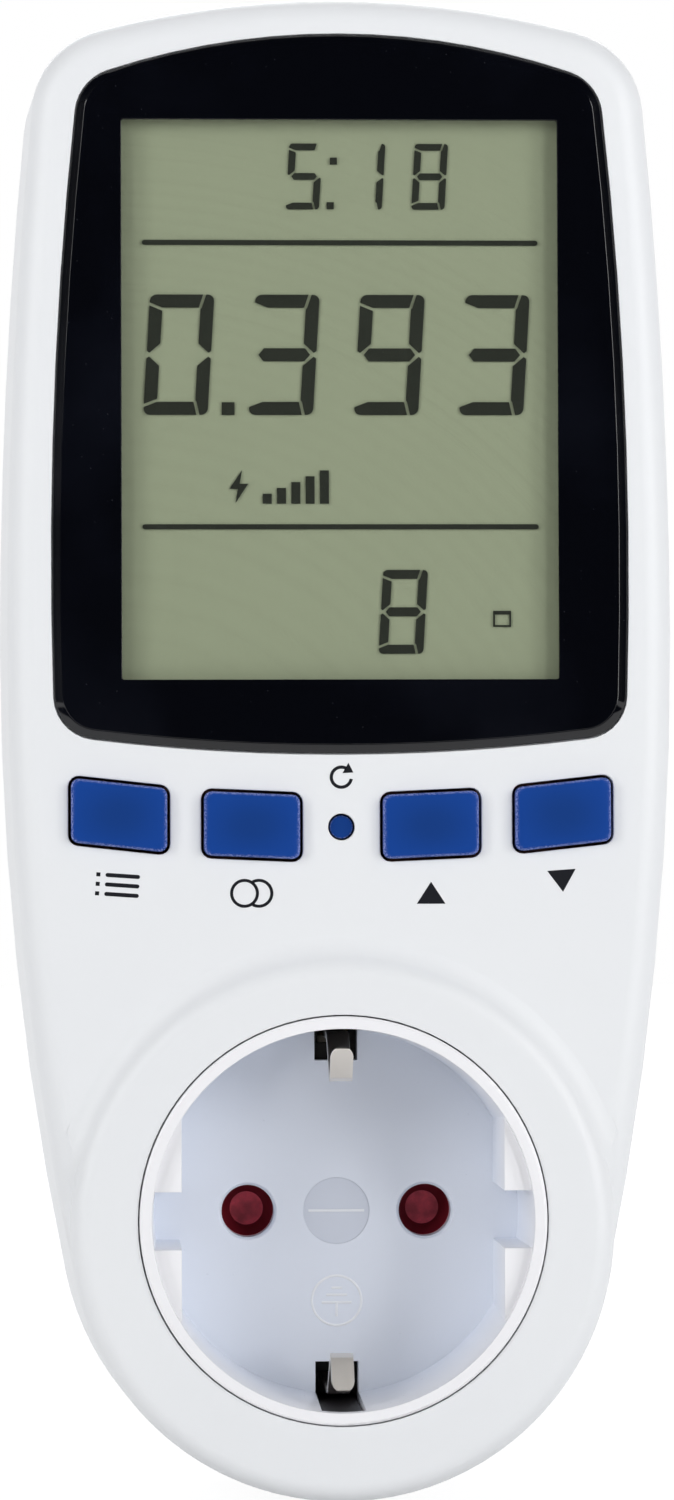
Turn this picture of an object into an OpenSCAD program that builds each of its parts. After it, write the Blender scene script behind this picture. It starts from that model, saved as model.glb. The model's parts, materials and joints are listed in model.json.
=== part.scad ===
// Plug-in mains energy meter: display and keys above a socket, with a plug behind the socket.
// The socket axis is the line x = 0, z = 0; the plug face is at y = 0 and the pins point to +y.

/* [Housing] */
// Greatest width of the housing
housing_w = 72; // [71:0.2:77]
// Height of the widest point above the socket axis
waist_z = 60.6; // [58:0.2:64]
// Height of the top edge above the socket axis
housing_top = 129.2; // [128.8:0.2:136]
// Radius of the round lower end
end_r = 29.6; // [29.3:0.1:31]
// Height of the centre of the lower end, against the socket axis
end_z = -0.9; // [-1.4:0.1:-0.4]
// Radius of the arched top edge
top_r = 101; // [95:1:120]
// Radius of the upper side edges
side_r = 590; // [480:10:800]
// Radius of the two top corners
corner_r = 10.5; // [9:0.25:11.5]
// Depth from the rear face to the front face
housing_d = 41; // [40:0.5:46]
// Height of the parting line above the rear face
parting_h = 20; // [18:0.5:23]
// Wall thickness of both covers
wall = 2; // [1.6:0.1:2.2]
// Rounding of the outer edges
edge_r = 3; // [2.5:0.1:3.2]
// Taper of each side wall between its ends
draft = 1.1; // [0.7:0.1:1.3]
// Open seam between the covers
seam = 0.3; // [0.2:0.05:0.5]
// Length of the locating lip at the parting line
lip_h = 1.6; // [1:0.1:2.2]

/* [Display] */
// Margin between the bezel and the side of the housing, at the widest point
bezel_side = 5.9; // [5.5:0.1:7]
// Height of the widest point of the bezel
bezel_waist_z = 68.3; // [64:0.1:72]
// Radius of the bezel sides
bezel_side_r = 445; // [380:5:600]
// Lowest point of the bezel
bezel_low_z = 48.6; // [48.4:0.1:50.6]
// Radius of the smiling lower edge
bezel_low_r = 212; // [180:2:260]
// Top of the bezel
bezel_top_z = 124; // [122.5:0.1:124.6]
// Radius of the arched top of the bezel
bezel_top_r = 76.5; // [72:0.5:90]
// Radius of the upper bezel corners
bezel_corner_r = 4.9; // [3.5:0.1:6]
// Radius of the lower bezel corners
bezel_foot_r = 4.5; // [3:0.25:5.5]
// Thickness of the bezel
bezel_t = 1.3; // [1.2:0.1:1.5]
// Height of the bezel above the front face
bezel_proud = 0.5; // [0.3:0.1:0.7]
// Width of the sloping edge of the bezel
bezel_slope = 0.95; // [0.6:0.05:1.2]
// Margin between the display opening and the side of the housing, at the widest point
window_side = 13.15; // [12.8:0.05:15]
// Margin between the display opening and the lower edge of the bezel, in the middle
window_rise = 7.7; // [7:0.1:9]
// Margin between the display opening and the top of the bezel, in the middle
window_drop = 9; // [8.6:0.1:14]
// Thickness of the clear pane
pane_t = 0.8; // [0.6:0.1:0.9]
// Thickness of the display glass, front and rear plate together
lcd_t = 2.2; // [2:0.1:2.4]
// Height of the contact strips under the glass
strip_h = 5; // [4.6:0.1:5.2]

/* [Keys] */
// Height of a key
key_h = 6.7; // [5:0.1:7.2]
// Place of the inner keys beside the middle
key_inner_x = 9.35; // [9:0.05:10.5]
// Distance from the middle of an outer key to the side of the housing, at the widest point
key_side = 12.8; // [12.4:0.05:14.5]
// Web of the front cover between two keys
key_web = 3.85; // [3.4:0.05:5]
// Height of the key row above the socket axis
key_row_z = 40.9; // [40.2:0.1:41.4]
// Radius of the arc the keys follow
key_arc_r = 210; // [190:5:400]
// Gap round a key in its opening
key_gap = 0.32; // [0.28:0.01:0.4]
// Height of a key above the front face
key_proud = 1; // [0.9:0.05:1.3]
// Travel of every key
key_travel = 0.8; // [0.6:0.05:0.9]
// Diameter of the reset key
reset_d = 2.4; // [2:0.1:2.6]
// Depth of the reset key below the front face
reset_depth = 0.5; // [0.2:0.05:0.8]

/* [Socket] */
// Distance between the pin holes, fixed by the plug standard
pin_pitch = 19; // [19:0.5:19]
// Diameter of the pin holes
pin_hole_d = 5.6; // [5.2:0.1:6]
// Diameter of the socket well at its mouth
well_d = 39.8; // [39.4:0.1:40.2]
// Taper of the well wall from its mouth to its floor
well_taper = 0.4; // [0.25:0.05:0.5]
// Depth of the socket well
well_depth = 17.5; // [17:0.1:18]
// Wall of the socket insert at its rim
insert_wall = 1.3; // [1.2:0.05:1.5]
// Rounding of the outer edge of the insert rim
rim_round = 0.35; // [0.2:0.05:0.6]
// Gap between the insert rim and the collar
rim_gap = 0.15; // [0.1:0.01:0.25]
// Height of the insert rim above the collar
rim_proud = 0.4; // [0.2:0.1:0.6]
// Thickness of the well floor
floor_t = 3; // [2.6:0.1:3.2]
// Distance between the side guides
guide_span = 33.6; // [33.2:0.1:34]
// Width of the groove between the side guides
guide_slot = 6; // [5.4:0.1:6.6]
// Depth of the side guides below the rim
guide_drop = 1.1; // [0.6:0.1:2]
// Width of the earth clip slots
earth_slot_w = 4.6; // [4.2:0.1:5]
// Width of the earth clips
clip_w = 2.4; // [2.2:0.1:3]
// Thickness of the earth clips
clip_t = 0.7; // [0.6:0.05:0.8]
// Radius of the socket collar
collar_r = 28.4; // [28:0.05:28.4]
// Rounding of the collar shoulder
collar_round = 2.2; // [1.6:0.1:2.2]
// Radius of the hollow fillet where the collar meets the front face
collar_foot = 3; // [2:0.25:3.5]
// Height of the collar above the front face
collar_rise = 2.2; // [2.2:0.1:3]

/* [Shutter] */
// Diameter of the shutter disc
shutter_d = 27.6; // [26.6:0.2:29]
// Thickness of the shutter disc
shutter_t = 3.4; // [3.2:0.1:3.6]
// Diameter of the plain sunk disc in the middle of the well floor
disc_d = 7.1; // [6:0.1:9]
// Depth of the sunk disc
disc_depth = 0.15; // [0.1:0.05:0.3]
// Depth of the pits in the shutter under the pin holes
pit_depth = 2.4; // [1.8:0.1:2.5]
// Turn that brings the shutter holes to the pin holes
shutter_turn = 40; // [40:1:40]
// Diameter of the shutter spindle
spindle_d = 4.8; // [4.4:0.1:5]
// Gap above and below the shutter disc
run_gap = 0.3; // [0.2:0.05:0.4]

/* [Plug] */
// Diameter of the plug pins, fixed by the plug standard
pin_d = 4.8; // [4.8:0.1:4.8]
// Length of the plug pins
pin_len = 19; // [18.5:0.1:19.5]
// Length of the plug base behind the housing
plug_len = 17; // [16:0.1:17.5]
// Diameter of the plug base
plug_d = 37.2; // [36.4:0.1:38]
// Distance between the flats of the plug base
plug_flats = 32.6; // [32:0.1:33.2]
// Width of the rib on each flat
plug_rib = 5; // [4.4:0.1:5.3]

/* [Screws] */
// Diameter of the housing screws
screw_d = 2.6; // [2.2:0.1:3]
// Length of the housing screws under the head
screw_len = 12; // [10:0.5:13]
// Diameter of the housing screw heads
head_d = 4.6; // [4:0.1:5]
// Place of the upper screws beside the middle
top_screw_x = 13; // [11:0.5:15]
// Place of the lower screws beside the middle
low_screw_x = 26; // [25.2:0.1:26.4]
// Height of the lower screws above the socket axis
low_screw_z = 26; // [25:0.25:28]

/* [Boards] */
// Thickness of the boards
board_t = 1.6; // [1.2:0.1:1.8]
// Lower edge of both boards
board_low_z = 33.6; // [33:0.1:34.4]
// Upper edge of the rear board
rear_board_top_z = 104; // [102:0.5:108]
// Width of the rear board
rear_board_w = 50; // [49:0.5:54]
// Height of the rear board above the inner rear wall
rear_post_h = 3.8; // [3.4:0.1:5]

/* [Rear board parts] */
// Length of the film capacitor
cap_l = 18; // [15:0.5:19]
// Width of the film capacitor
cap_w = 8.5; // [7:0.5:9.5]
// Height of the film capacitor
cap_h = 14.5; // [12:0.5:15]
// Place of the film capacitor beside the middle
cap_x = 15.75; // [15:0.25:18]
// Diameter of the electrolytic capacitor
can_d = 8; // [6:0.5:9]
// Height of the electrolytic capacitor
can_h = 12; // [9:0.5:14]
// Place of the electrolytic capacitor beside the middle
can_x = 9; // [8:0.5:12]
// Diameter of the varistor
varistor_d = 10; // [8:0.5:10.5]
// Thickness of the varistor
varistor_t = 4; // [3:0.25:4.5]
// Width of the metering chip
chip_w = 6; // [4:0.25:6.5]
// Length of the metering chip
chip_l = 12; // [9:0.25:12.5]
// Place of the metering chip beside the middle
chip_x = 12; // [11.5:0.25:14]
// Side of the display driver chip
driver_w = 14; // [10:0.5:16]
// Diameter of the backup cell
cell_d = 11.6; // [10:0.1:12]
// Length of the backup cell
cell_l = 16; // [13:0.5:18]
// Place of the backup cell beside the middle
cell_x = 2; // [0:0.5:4]
// Height of the lower row of parts above the lower edge of the board
low_row = 16.4; // [15:0.2:18]
// Height of the middle row of parts above the lower edge of the board
mid_row = 32.4; // [31.5:0.2:35]
// Height of the upper row of parts above the lower edge of the board
top_row = 56.4; // [54:0.2:58]
// Width of the link between the boards
link_w = 18; // [16:0.5:20]
// Thickness and height of each header of the link
link_t = 2.5; // [2.2:0.1:2.6]
// Pitch of the pins of the link
link_pitch = 2.54; // [2:0.01:2.54]
// Thickness of a pin of the link
link_pin = 0.64; // [0.5:0.02:0.7]
// End of the contact tabs that the sense wires leave from, above the socket axis
tab_end = 9; // [8.5:0.1:9.4]
// Bow of the sense wires over their way to the board
wire_bow = 2.2; // [1.6:0.1:2.6]
// Diameter of a sense wire
wire_d = 1.4; // [1:0.1:1.5]

/* [Hidden] */
$fn = 72;

fit = 0.15;
white = [0.91, 0.92, 0.93];
black = [0.03, 0.03, 0.04];
blue = [0.1, 0.24, 0.52];
red = [0.45, 0.1, 0.15];
steel = [0.75, 0.75, 0.74];
brass = [0.72, 0.58, 0.3];
green = [0.1, 0.35, 0.2];
dark = [0.12, 0.12, 0.13];

bezel_w = housing_w - 2 * bezel_side;
window_w = housing_w - 2 * window_side;
window_low_z = bezel_low_z + window_rise;
window_top_z = bezel_top_z - window_drop;
key_outer_x = housing_w / 2 - key_side;
key_w = key_outer_x - key_inner_x - key_web;
well_floor_d = well_d - 2 * well_taper;
insert_d = well_d + 2 * insert_wall;
front_h = housing_d;
roof_h = front_h - wall;
collar_h = front_h + collar_rise;
rim_h = collar_h + rim_proud;
floor_h = rim_h - well_depth;
under_h = floor_h - floor_t;
shutter_top = under_h - run_gap;
shutter_low = shutter_top - shutter_t;
plate_top = shutter_low - run_gap;
plate_t = 1.8;
plate_low = plate_top - plate_t;
flange_t = 2;
flange_r = insert_d / 2 + 3;
plug_seat = wall + flange_t;
pin_head_t = 1.2;
pin_top = plug_seat + pin_head_t;
shunt_t = 0.6;
shunt_gap = 0.8;
bezel_seat = front_h + bezel_proud - bezel_t;
ledge_t = 1.2;
ledge_low = bezel_seat - ledge_t;
film_gap = 0.4;
lcd_top = bezel_seat - film_gap;
lcd_mid = ledge_low - fit;
lcd_low = lcd_top - lcd_t;
board_top = lcd_low - strip_h;
board_low = board_top - board_t;
mat_t = 1.2;
skirt_h = 1.1;
key_low = board_top + mat_t + skirt_h;
pill_t = 0.5;
pill_low = board_top + key_travel + 0.1;
pill_top = pill_low + pill_t;
boss_low = parting_h - 2;
seat_h = boss_low - 3;
rear_board_low = wall + rear_post_h;
rear_board_top = rear_board_low + board_t;
bore_r = insert_d / 2 + rim_gap;
tower_r = bore_r + wall;
tower_low = floor_h + flange_t;
ring_in = insert_d / 2 + 0.4;
ring_out = ring_in + 2;
pin_x = pin_pitch / 2;
shank_r = pin_d / 2 - 0.2;
slot_x = earth_slot_w / 2 - 0.15;
key_x = [-key_outer_x, -key_inner_x, key_inner_x, key_outer_x];

function arc_pts(c, r, a0, a1, n) =
  [for (i = [0 : n - 1]) c + r * [cos(a0 + (a1 - a0) * i / n), sin(a0 + (a1 - a0) * i / n)]];
function angle_to(c, p) = atan2(p[1] - c[1], p[0] - c[0]);
function meet(c1, r1, c2, r2, s) =
  let (d = norm(c2 - c1), u = (c2 - c1) / d, a = (d * d + r1 * r1 - r2 * r2) / (2 * d))
  c1 + a * u + s * sqrt(max(0, r1 * r1 - a * a)) * [-u[1], u[0]];
function mirrored(p) = concat(p, [for (i = [len(p) - 2 : -1 : 1]) [-p[i][0], p[i][1]]]);
function unit(v) = v / norm(v);

end_c = [0, end_z];
low_rise = waist_z - end_z;
low_side_r = (housing_w * housing_w / 4 + low_rise * low_rise - end_r * end_r) / (housing_w - 2 * end_r);
low_c = [housing_w / 2 - low_side_r, waist_z];
up_c = [housing_w / 2 - side_r, waist_z];
top_c = [0, housing_top - top_r];
corner_c = meet(top_c, top_r - corner_r, up_c, side_r - corner_r, -1);
low_a = angle_to(low_c, end_c);
up_a = angle_to(up_c, corner_c);
top_a = angle_to(top_c, corner_c);

function housing_half(e) = concat(
  arc_pts(end_c, end_r - e, -90, low_a, 20),
  arc_pts(low_c, low_side_r - e, low_a, 0, 6),
  arc_pts(up_c, side_r - e, 0, up_a, 6),
  arc_pts(corner_c, corner_r - e, up_a, top_a, 9),
  arc_pts(top_c, top_r - e, top_a, 90, 7),
  [[0, housing_top - e]]);
function housing_ring(e) = mirrored(housing_half(e));
function half_w(z) = let (r = z > waist_z ? side_r : low_side_r)
  housing_w / 2 - r + sqrt(r * r - (z - waist_z) * (z - waist_z));
function top_z(x) = housing_top - top_r + sqrt(top_r * top_r - x * x);

bz_low_c = [0, bezel_low_z + bezel_low_r];
bz_side_c = [bezel_w / 2 - bezel_side_r, bezel_waist_z];
bz_top_c = [0, bezel_top_z - bezel_top_r];
bz_foot_c = meet(bz_low_c, bezel_low_r - bezel_foot_r, bz_side_c, bezel_side_r - bezel_foot_r, 1);
bz_corner_c = meet(bz_top_c, bezel_top_r - bezel_corner_r, bz_side_c, bezel_side_r - bezel_corner_r, -1);

function bezel_half(e) = concat(
  arc_pts(bz_low_c, bezel_low_r - e, -90, angle_to(bz_low_c, bz_foot_c), 6),
  arc_pts(bz_foot_c, bezel_foot_r - e, angle_to(bz_low_c, bz_foot_c), angle_to(bz_side_c, bz_foot_c), 7),
  arc_pts(bz_side_c, bezel_side_r - e, angle_to(bz_side_c, bz_foot_c), angle_to(bz_side_c, bz_corner_c), 7),
  arc_pts(bz_corner_c, bezel_corner_r - e, angle_to(bz_side_c, bz_corner_c),
    angle_to(bz_top_c, bz_corner_c), 7),
  arc_pts(bz_top_c, bezel_top_r - e, angle_to(bz_top_c, bz_corner_c), 90, 7),
  [[0, bezel_top_z - e]]);
function bezel_ring(e) = mirrored(bezel_half(e));

function round_poly(p, r, n) = [for (i = [0 : len(p) - 1])
  let (q = p[i], a = unit(p[(i + len(p) - 1) % len(p)] - q), b = unit(p[(i + 1) % len(p)] - q),
    half = acos(a * b) / 2, c = q + unit(a + b) * r / sin(half),
    a0 = angle_to(c, q + a * r / tan(half)), a2 = angle_to(c, q + b * r / tan(half)),
    a1 = a2 < a0 ? a2 + 360 : a2)
  for (k = [0 : n]) c + r * [cos(a0 + (a1 - a0) * k / n), sin(a0 + (a1 - a0) * k / n)]];
function key_ring(i, e, r) =
  let (w = key_w / 2 + e, h = key_h / 2 + e, x = key_x[i], s = x / key_arc_r, z = key_row_z + x * s / 2)
  [for (p = round_poly([[-w, -h - s * w], [w, -h + s * w], [w, h + s * w], [-w, h - s * w]], r, 4))
    p + [x, z]];
function box_ring(x0, y0, x1, y1, r) = round_poly([[x0, y0], [x1, y0], [x1, y1], [x0, y1]], r, 4);
function window_ring(e, r) =
  box_ring(-window_w / 2 - e, window_low_z - e, window_w / 2 + e, window_top_z + e, r);

// A thin bent strip of even thickness along a path
function side_of(p, i, t) =
  let (a = unit(p[max(i, 1)] - p[max(i, 1) - 1]),
    b = unit(p[min(i, len(p) - 2) + 1] - p[min(i, len(p) - 2)]),
    m = unit(a + b), n = [-m[1], m[0]])
  p[i] + n * t / 2 / max(0.5, n * [-a[1], a[0]]);
function strip_poly(p, t) = concat(
  [for (i = [0 : len(p) - 1]) side_of(p, i, -t)],
  [for (i = [len(p) - 1 : -1 : 0]) side_of(p, i, t)]);

function along(p) = [for (i = [0 : len(p) - 1]) unit(p[min(i + 1, len(p) - 1)] - p[max(i - 1, 0)])];
function carried(t, i, v) = i >= len(t) ? [] :
  let (n = unit(v - (v * t[i]) * t[i])) concat([n], carried(t, i + 1, n));

module loft(rings) {
  n = len(rings[0][0]);
  m = len(rings);
  points = [for (r = rings) for (p = r[0]) [p[0], p[1], r[1]]];
  low = [[for (i = [0 : n - 1]) i]];
  top = [[for (i = [n - 1 : -1 : 0]) i + (m - 1) * n]];
  sides = [for (k = [0 : m - 2]) for (i = [0 : n - 1]) for (f = [0, 1])
    let (a = k * n + i, b = k * n + (i + 1) % n)
    f == 0 ? [a, a + n, b + n] : [a, b + n, b]];
  polyhedron(points = points, faces = concat(low, sides, top), convexity = 6);
}

module tube(path, r, sides) {
  t = along(path);
  f = carried(t, 0, abs(t[0][2]) < 0.9 ? [0, 0, 1] : [1, 0, 0]);
  n = len(path);
  points = [for (i = [0 : n - 1]) for (k = [0 : sides - 1])
    path[i] + r * (cos(k * 360 / sides) * f[i] + sin(k * 360 / sides) * cross(t[i], f[i]))];
  walls = [for (i = [0 : n - 2]) for (k = [0 : sides - 1]) for (g = [0, 1])
    let (a = i * sides + k, b = i * sides + (k + 1) % sides)
    g == 0 ? [a, a + sides, b + sides] : [a, b + sides, b]];
  low = [[for (k = [0 : sides - 1]) k]];
  top = [[for (k = [sides - 1 : -1 : 0]) k + (n - 1) * sides]];
  polyhedron(points = points, faces = concat(low, walls, top), convexity = 6);
}

module stand() {
  translate([0, -plug_len, 0])
    rotate([90, 0, 0])
      children();
}

module slab(ring, h0, h1) {
  translate([0, 0, h0])
    linear_extrude(height = h1 - h0)
      polygon(ring);
}

module rod(r, h0, h1) {
  translate([0, 0, h0])
    cylinder(r = r, h = h1 - h0);
}

module block(x0, y0, h0, x1, y1, h1) {
  translate([x0, y0, h0])
    cube([x1 - x0, y1 - y0, h1 - h0]);
}

screw_z = top_z(top_screw_x) - draft - edge_r - head_d / 2 - 0.4;
screw_places = [[-top_screw_x, screw_z], [top_screw_x, screw_z],
  [-low_screw_x, low_screw_z], [low_screw_x, low_screw_z]];
boss_r = screw_d / 2 + 1.1;
post_z = [bezel_low_z + 3, window_top_z - 7];
post_places = [for (z = post_z) for (s = [-1, 1]) [s * (half_w(z) - wall - draft - 2.2), z]];
post_r = 1.6;
small_r = 0.9;
rear_posts = [for (z = [board_low_z + 4, rear_board_top_z - 4]) for (s = [-1, 1])
  [s * (rear_board_w / 2 - 4), z]];

front_skin = concat([[housing_ring(0), parting_h]],
  [for (a = [0 : 15 : 90])
    [housing_ring(draft + edge_r * (1 - cos(a))), front_h - edge_r + edge_r * sin(a)]]);
front_hollow = concat([[housing_ring(wall), parting_h - 1]],
  [for (a = [0 : 30 : 90]) [housing_ring(wall + draft + (edge_r - wall) * (1 - cos(a))),
    front_h - edge_r + (edge_r - wall) * sin(a)]]);
rear_skin = concat([for (a = [90 : -15 : 0]) [housing_ring(draft + edge_r * (1 - cos(a))),
    edge_r - edge_r * sin(a)]],
  [[housing_ring(0), parting_h - seam]]);
rear_hollow = concat([for (a = [90 : -30 : 0]) [housing_ring(wall + draft + (edge_r - wall) * (1 - cos(a))),
    edge_r - (edge_r - wall) * sin(a)]],
  [[housing_ring(wall), parting_h + 1]]);

module collar_solid() {
  translate(end_c)
    rotate_extrude() {
      translate([0, front_h - 7])
        square([collar_r, 7 + collar_rise - collar_round]);
      translate([0, front_h - 7])
        square([collar_r - collar_round, 7 + collar_rise]);
      translate([collar_r - collar_round, collar_h - collar_round])
        circle(r = collar_round);
    }
}

// Hollow fillet round the collar, fading out where the front face turns over its edge
module collar_fillet() {
  shoulder = [collar_r - collar_round, collar_h - collar_round];
  rise = front_h + collar_foot - shoulder[1];
  reach = sqrt((collar_round + collar_foot) * (collar_round + collar_foot) - rise * rise);
  foot = [shoulder[0] + reach, front_h + collar_foot];
  touch = angle_to(foot, shoulder);
  intersection() {
    loft([[housing_ring(draft + edge_r - 1.4), front_h - 0.5],
      [housing_ring(draft + edge_r + 1.4), collar_h]]);
    translate(end_c)
      rotate_extrude()
        polygon(concat(arc_pts(foot, collar_foot, touch, touch > 0 ? 270 : -90, 8),
          [[foot[0], front_h - 0.02], [foot[0], front_h - 0.4], [shoulder[0], front_h - 0.4]]));
  }
}

module collar_hollow() {
  difference() {
    translate(end_c)
      rod(collar_r - wall, roof_h - 1, collar_h - wall);
    rod(tower_r, roof_h - 2, collar_h);
  }
}

module front_cover() {
  color(white)
    stand()
      difference() {
        union() {
          difference() {
            union() {
              loft(front_skin);
              collar_solid();
              collar_fillet();
            }
            loft(front_hollow);
            collar_hollow();
          }
          difference() {
            slab(housing_ring(wall / 2 + 0.15), parting_h - lip_h, parting_h + 0.6);
            slab(housing_ring(wall + 0.02), parting_h - lip_h - 1, parting_h + 1);
          }
          slab(bezel_ring(-0.2), ledge_low, roof_h + 0.3);
          rod(tower_r, tower_low, roof_h + 0.4);
          for (p = screw_places)
            translate(p)
              rod(boss_r, boss_low, roof_h + 0.4);
          for (p = post_places)
            translate(p)
              rod(post_r, board_top, roof_h + 0.4);
        }
        rod(bore_r, tower_low - 1, collar_h + 1);
        slab(bezel_ring(-fit), bezel_seat, front_h + 2);
        slab(window_ring(0.9, 1), ledge_low - 1, front_h + 2);
        for (i = [0 : 3])
          slab(key_ring(i, key_gap, 1.1), roof_h - 3, front_h + 1);
        translate([0, key_row_z])
          rod(reset_d / 2 + 0.2, roof_h - 3, front_h + 1);
        for (p = screw_places)
          translate(p)
            rod(screw_d / 2 + 0.05, boss_low - 1, seat_h + screw_len + 1);
        for (p = post_places)
          translate(p)
            rod(small_r + 0.05, board_top - 1, board_top + 4.6);
      }
}

module rear_cover() {
  color(white)
    stand()
      difference() {
        union() {
          difference() {
            loft(rear_skin);
            loft(rear_hollow);
          }
          for (p = screw_places)
            translate(p)
              rod(head_d / 2 + 1.1, 0.6, boss_low);
          for (p = rear_posts)
            translate(p)
              rod(2.4, wall - 0.4, rear_board_low);
        }
        slab(housing_ring(wall / 2), parting_h - lip_h - 0.2, parting_h + 1);
        rod(plug_d / 2 + fit, -1, wall + 1);
        for (p = screw_places)
          translate(p) {
            rod(head_d / 2 + 0.3, -1, seat_h);
            rod(screw_d / 2 + 0.2, seat_h - 1, boss_low + 1);
          }
        for (p = rear_posts)
          translate(p)
            rod(small_r + 0.05, wall + 0.6, rear_board_low + 1);
      }
}

module housing_screws() {
  color(steel)
    stand()
      for (p = screw_places)
        translate(p)
          difference() {
            union() {
              rod(head_d / 2, seat_h - 1.8, seat_h);
              rod(screw_d / 2, seat_h - 0.5, seat_h + screw_len);
            }
            block(-1.4, -0.35, seat_h - 2.5, 1.4, 0.35, seat_h - 0.7);
            block(-0.35, -1.4, seat_h - 2.5, 0.35, 1.4, seat_h - 0.7);
          }
}

module display_bezel() {
  top = bezel_seat + bezel_t;
  slope_h = bezel_proud + 0.05;
  color(black)
    stand()
      difference() {
        loft([[bezel_ring(0), bezel_seat], [bezel_ring(0), top - slope_h],
          [bezel_ring(bezel_slope * 0.1), top - slope_h * 0.78],
          [bezel_ring(bezel_slope * 0.85), top - slope_h * 0.06], [bezel_ring(bezel_slope), top]]);
        slab(window_ring(0, 0.25), bezel_seat - 1, top + 1);
        slab(window_ring(1.5 + fit, 0.8), bezel_seat - 1, bezel_seat + pane_t);
      }
}

module display_window() {
  color([0.8, 0.85, 0.85, 0.3])
    stand()
      slab(window_ring(1.5, 0.8), bezel_seat, bezel_seat + pane_t);
}

module lcd_panel() {
  w = window_w / 2 + 1.6;
  color([0.56, 0.6, 0.5])
    stand()
      union() {
        slab(window_ring(0.6, 0.3), lcd_mid - 0.1, lcd_top);
        block(-w, window_low_z - 4.4, lcd_low, w, window_top_z + 1.6, lcd_mid);
      }
}

module lcd_holder() {
  w = window_w / 2 + 1.6 + fit;
  z0 = window_low_z - 4.4 - fit;
  z1 = window_top_z + 1.6 + fit;
  color(white)
    stand()
      difference() {
        block(-w - 0.8, z0 - 0.8, board_top, w + 0.8, z1 + 0.6, lcd_mid - 0.3);
        block(-w, z0, lcd_low, w, z1, lcd_top + 1);
        block(-w + 3, z0 + 4.4, board_top - 1, w - 3, z1 - 4.4, lcd_top);
        for (z = [z0 + 0.8, z1 - 3.2])
          block(-w + 2, z, board_top - 1, w - 2, z + 2.4, lcd_top);
      }
}

module contact_strips() {
  w = window_w / 2 - 0.8;
  z0 = window_low_z - 4.4 - fit;
  z1 = window_top_z + 1.6 + fit;
  color([0.6, 0.45, 0.5])
    stand()
      for (z = [z0 + 1, z1 - 3])
        block(-w, z, board_top, w, z + 2, lcd_low);
}

module display_board() {
  top = window_top_z + 2;
  color(green)
    stand()
      difference() {
        intersection() {
          slab(housing_ring(wall + draft + 0.3), board_low, board_top);
          block(-60, board_low_z, board_low - 1, 60, top, board_top + 1);
        }
        for (p = post_places)
          translate(p)
            rod(small_r + 0.15, board_low - 1, board_top + 1);
      }
}

module board_screw(h, up) {
  difference() {
    union() {
      rod(1.7, up > 0 ? h - 1.2 : h, up > 0 ? h : h + 1.2);
      rod(small_r, up > 0 ? h - 0.4 : h - 4.4, up > 0 ? h + 5.6 : h + 0.4);
    }
    block(-1.2, -0.25, up > 0 ? h - 2 : h + 0.6, 1.2, 0.25, up > 0 ? h - 0.6 : h + 2);
  }
}

module board_screws() {
  color(steel)
    stand()
      union() {
        for (p = post_places)
          translate(p)
            board_screw(board_low, 1);
        for (p = rear_posts)
          translate(p)
            board_screw(rear_board_top, -1);
      }
}

module keypad_mat() {
  x = key_outer_x + key_w / 2 + 1.6;
  low = board_top;
  top = board_top + mat_t;
  color(blue)
    stand()
      union() {
        difference() {
          slab(box_ring(-x, key_row_z - key_h / 2 - 2.4, x, key_row_z + key_h / 2 + 3.4, 2), low, top);
          for (i = [0 : 3])
            slab(key_ring(i, 0.1, 1), low - 1, top + 1);
          translate([0, key_row_z])
            rod(2.6, low - 1, top + 1);
        }
        for (i = [0 : 3])
          difference() {
            loft([[key_ring(i, 0.9, 1.6), top - 0.2], [key_ring(i, 0, 0.8), key_low]]);
            loft([[key_ring(i, 0.1, 1), top - 0.9], [key_ring(i, 0.1, 1), top - 0.1],
              [key_ring(i, -0.7, 0.4), key_low + 0.4]]);
          }
        translate([0, key_row_z, 0])
          difference() {
            translate([0, 0, top - 0.1])
              cylinder(r1 = 3.3, r2 = 2, h = key_low - top + 0.1);
            translate([0, 0, top - 0.2])
              cylinder(r1 = 2.6, r2 = 1.2, h = key_low - top + 0.3);
          }
      }
}

module key(i) {
  top = front_h + key_proud;
  edge = 0.45;
  color(blue)
    stand()
      union() {
        loft([[key_ring(i, 0, 0.8), key_low], [key_ring(i, 0, 0.8), top - edge],
          [key_ring(i, -edge * 0.3, 0.75), top - edge * 0.3], [key_ring(i, -edge, 0.6), top]]);
        translate([key_x[i], key_row_z + key_x[i] * key_x[i] / key_arc_r / 2])
          rod(1.9, pill_top, key_low + 0.3);
      }
}

module pill(x) {
  color(dark)
    stand()
      translate([x, key_row_z + x * x / key_arc_r / 2])
        rod(x == 0 ? 1 : 1.9, pill_low, pill_top);
}

module key_function() {
  key(0);
}

module key_cost() {
  key(1);
}

module key_up() {
  key(2);
}

module key_down() {
  key(3);
}

module key_reset() {
  color(blue)
    stand()
      translate([0, key_row_z])
        union() {
          rod(reset_d / 2, key_low - 0.2, front_h - reset_depth);
          rod(2, key_low, key_low + 1.2);
          rod(1, pill_top, key_low);
        }
}

module pill_function() {
  pill(key_x[0]);
}

module pill_cost() {
  pill(key_x[1]);
}

module pill_up() {
  pill(key_x[2]);
}

module pill_down() {
  pill(key_x[3]);
}

module pill_reset() {
  pill(0);
}

module well_shape() {
  intersection() {
    union() {
      translate([0, 0, floor_h])
        cylinder(d1 = well_floor_d, d2 = well_d, h = well_depth);
      rod(well_floor_d / 2, floor_h - 1, floor_h + 0.1);
    }
    union() {
      block(-guide_span / 2, -30, floor_h - 1, guide_span / 2, 30, rim_h);
      block(-30, -guide_slot / 2, floor_h - 1, 30, guide_slot / 2, rim_h);
      rod(30, rim_h - guide_drop, rim_h);
    }
  }
}

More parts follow.
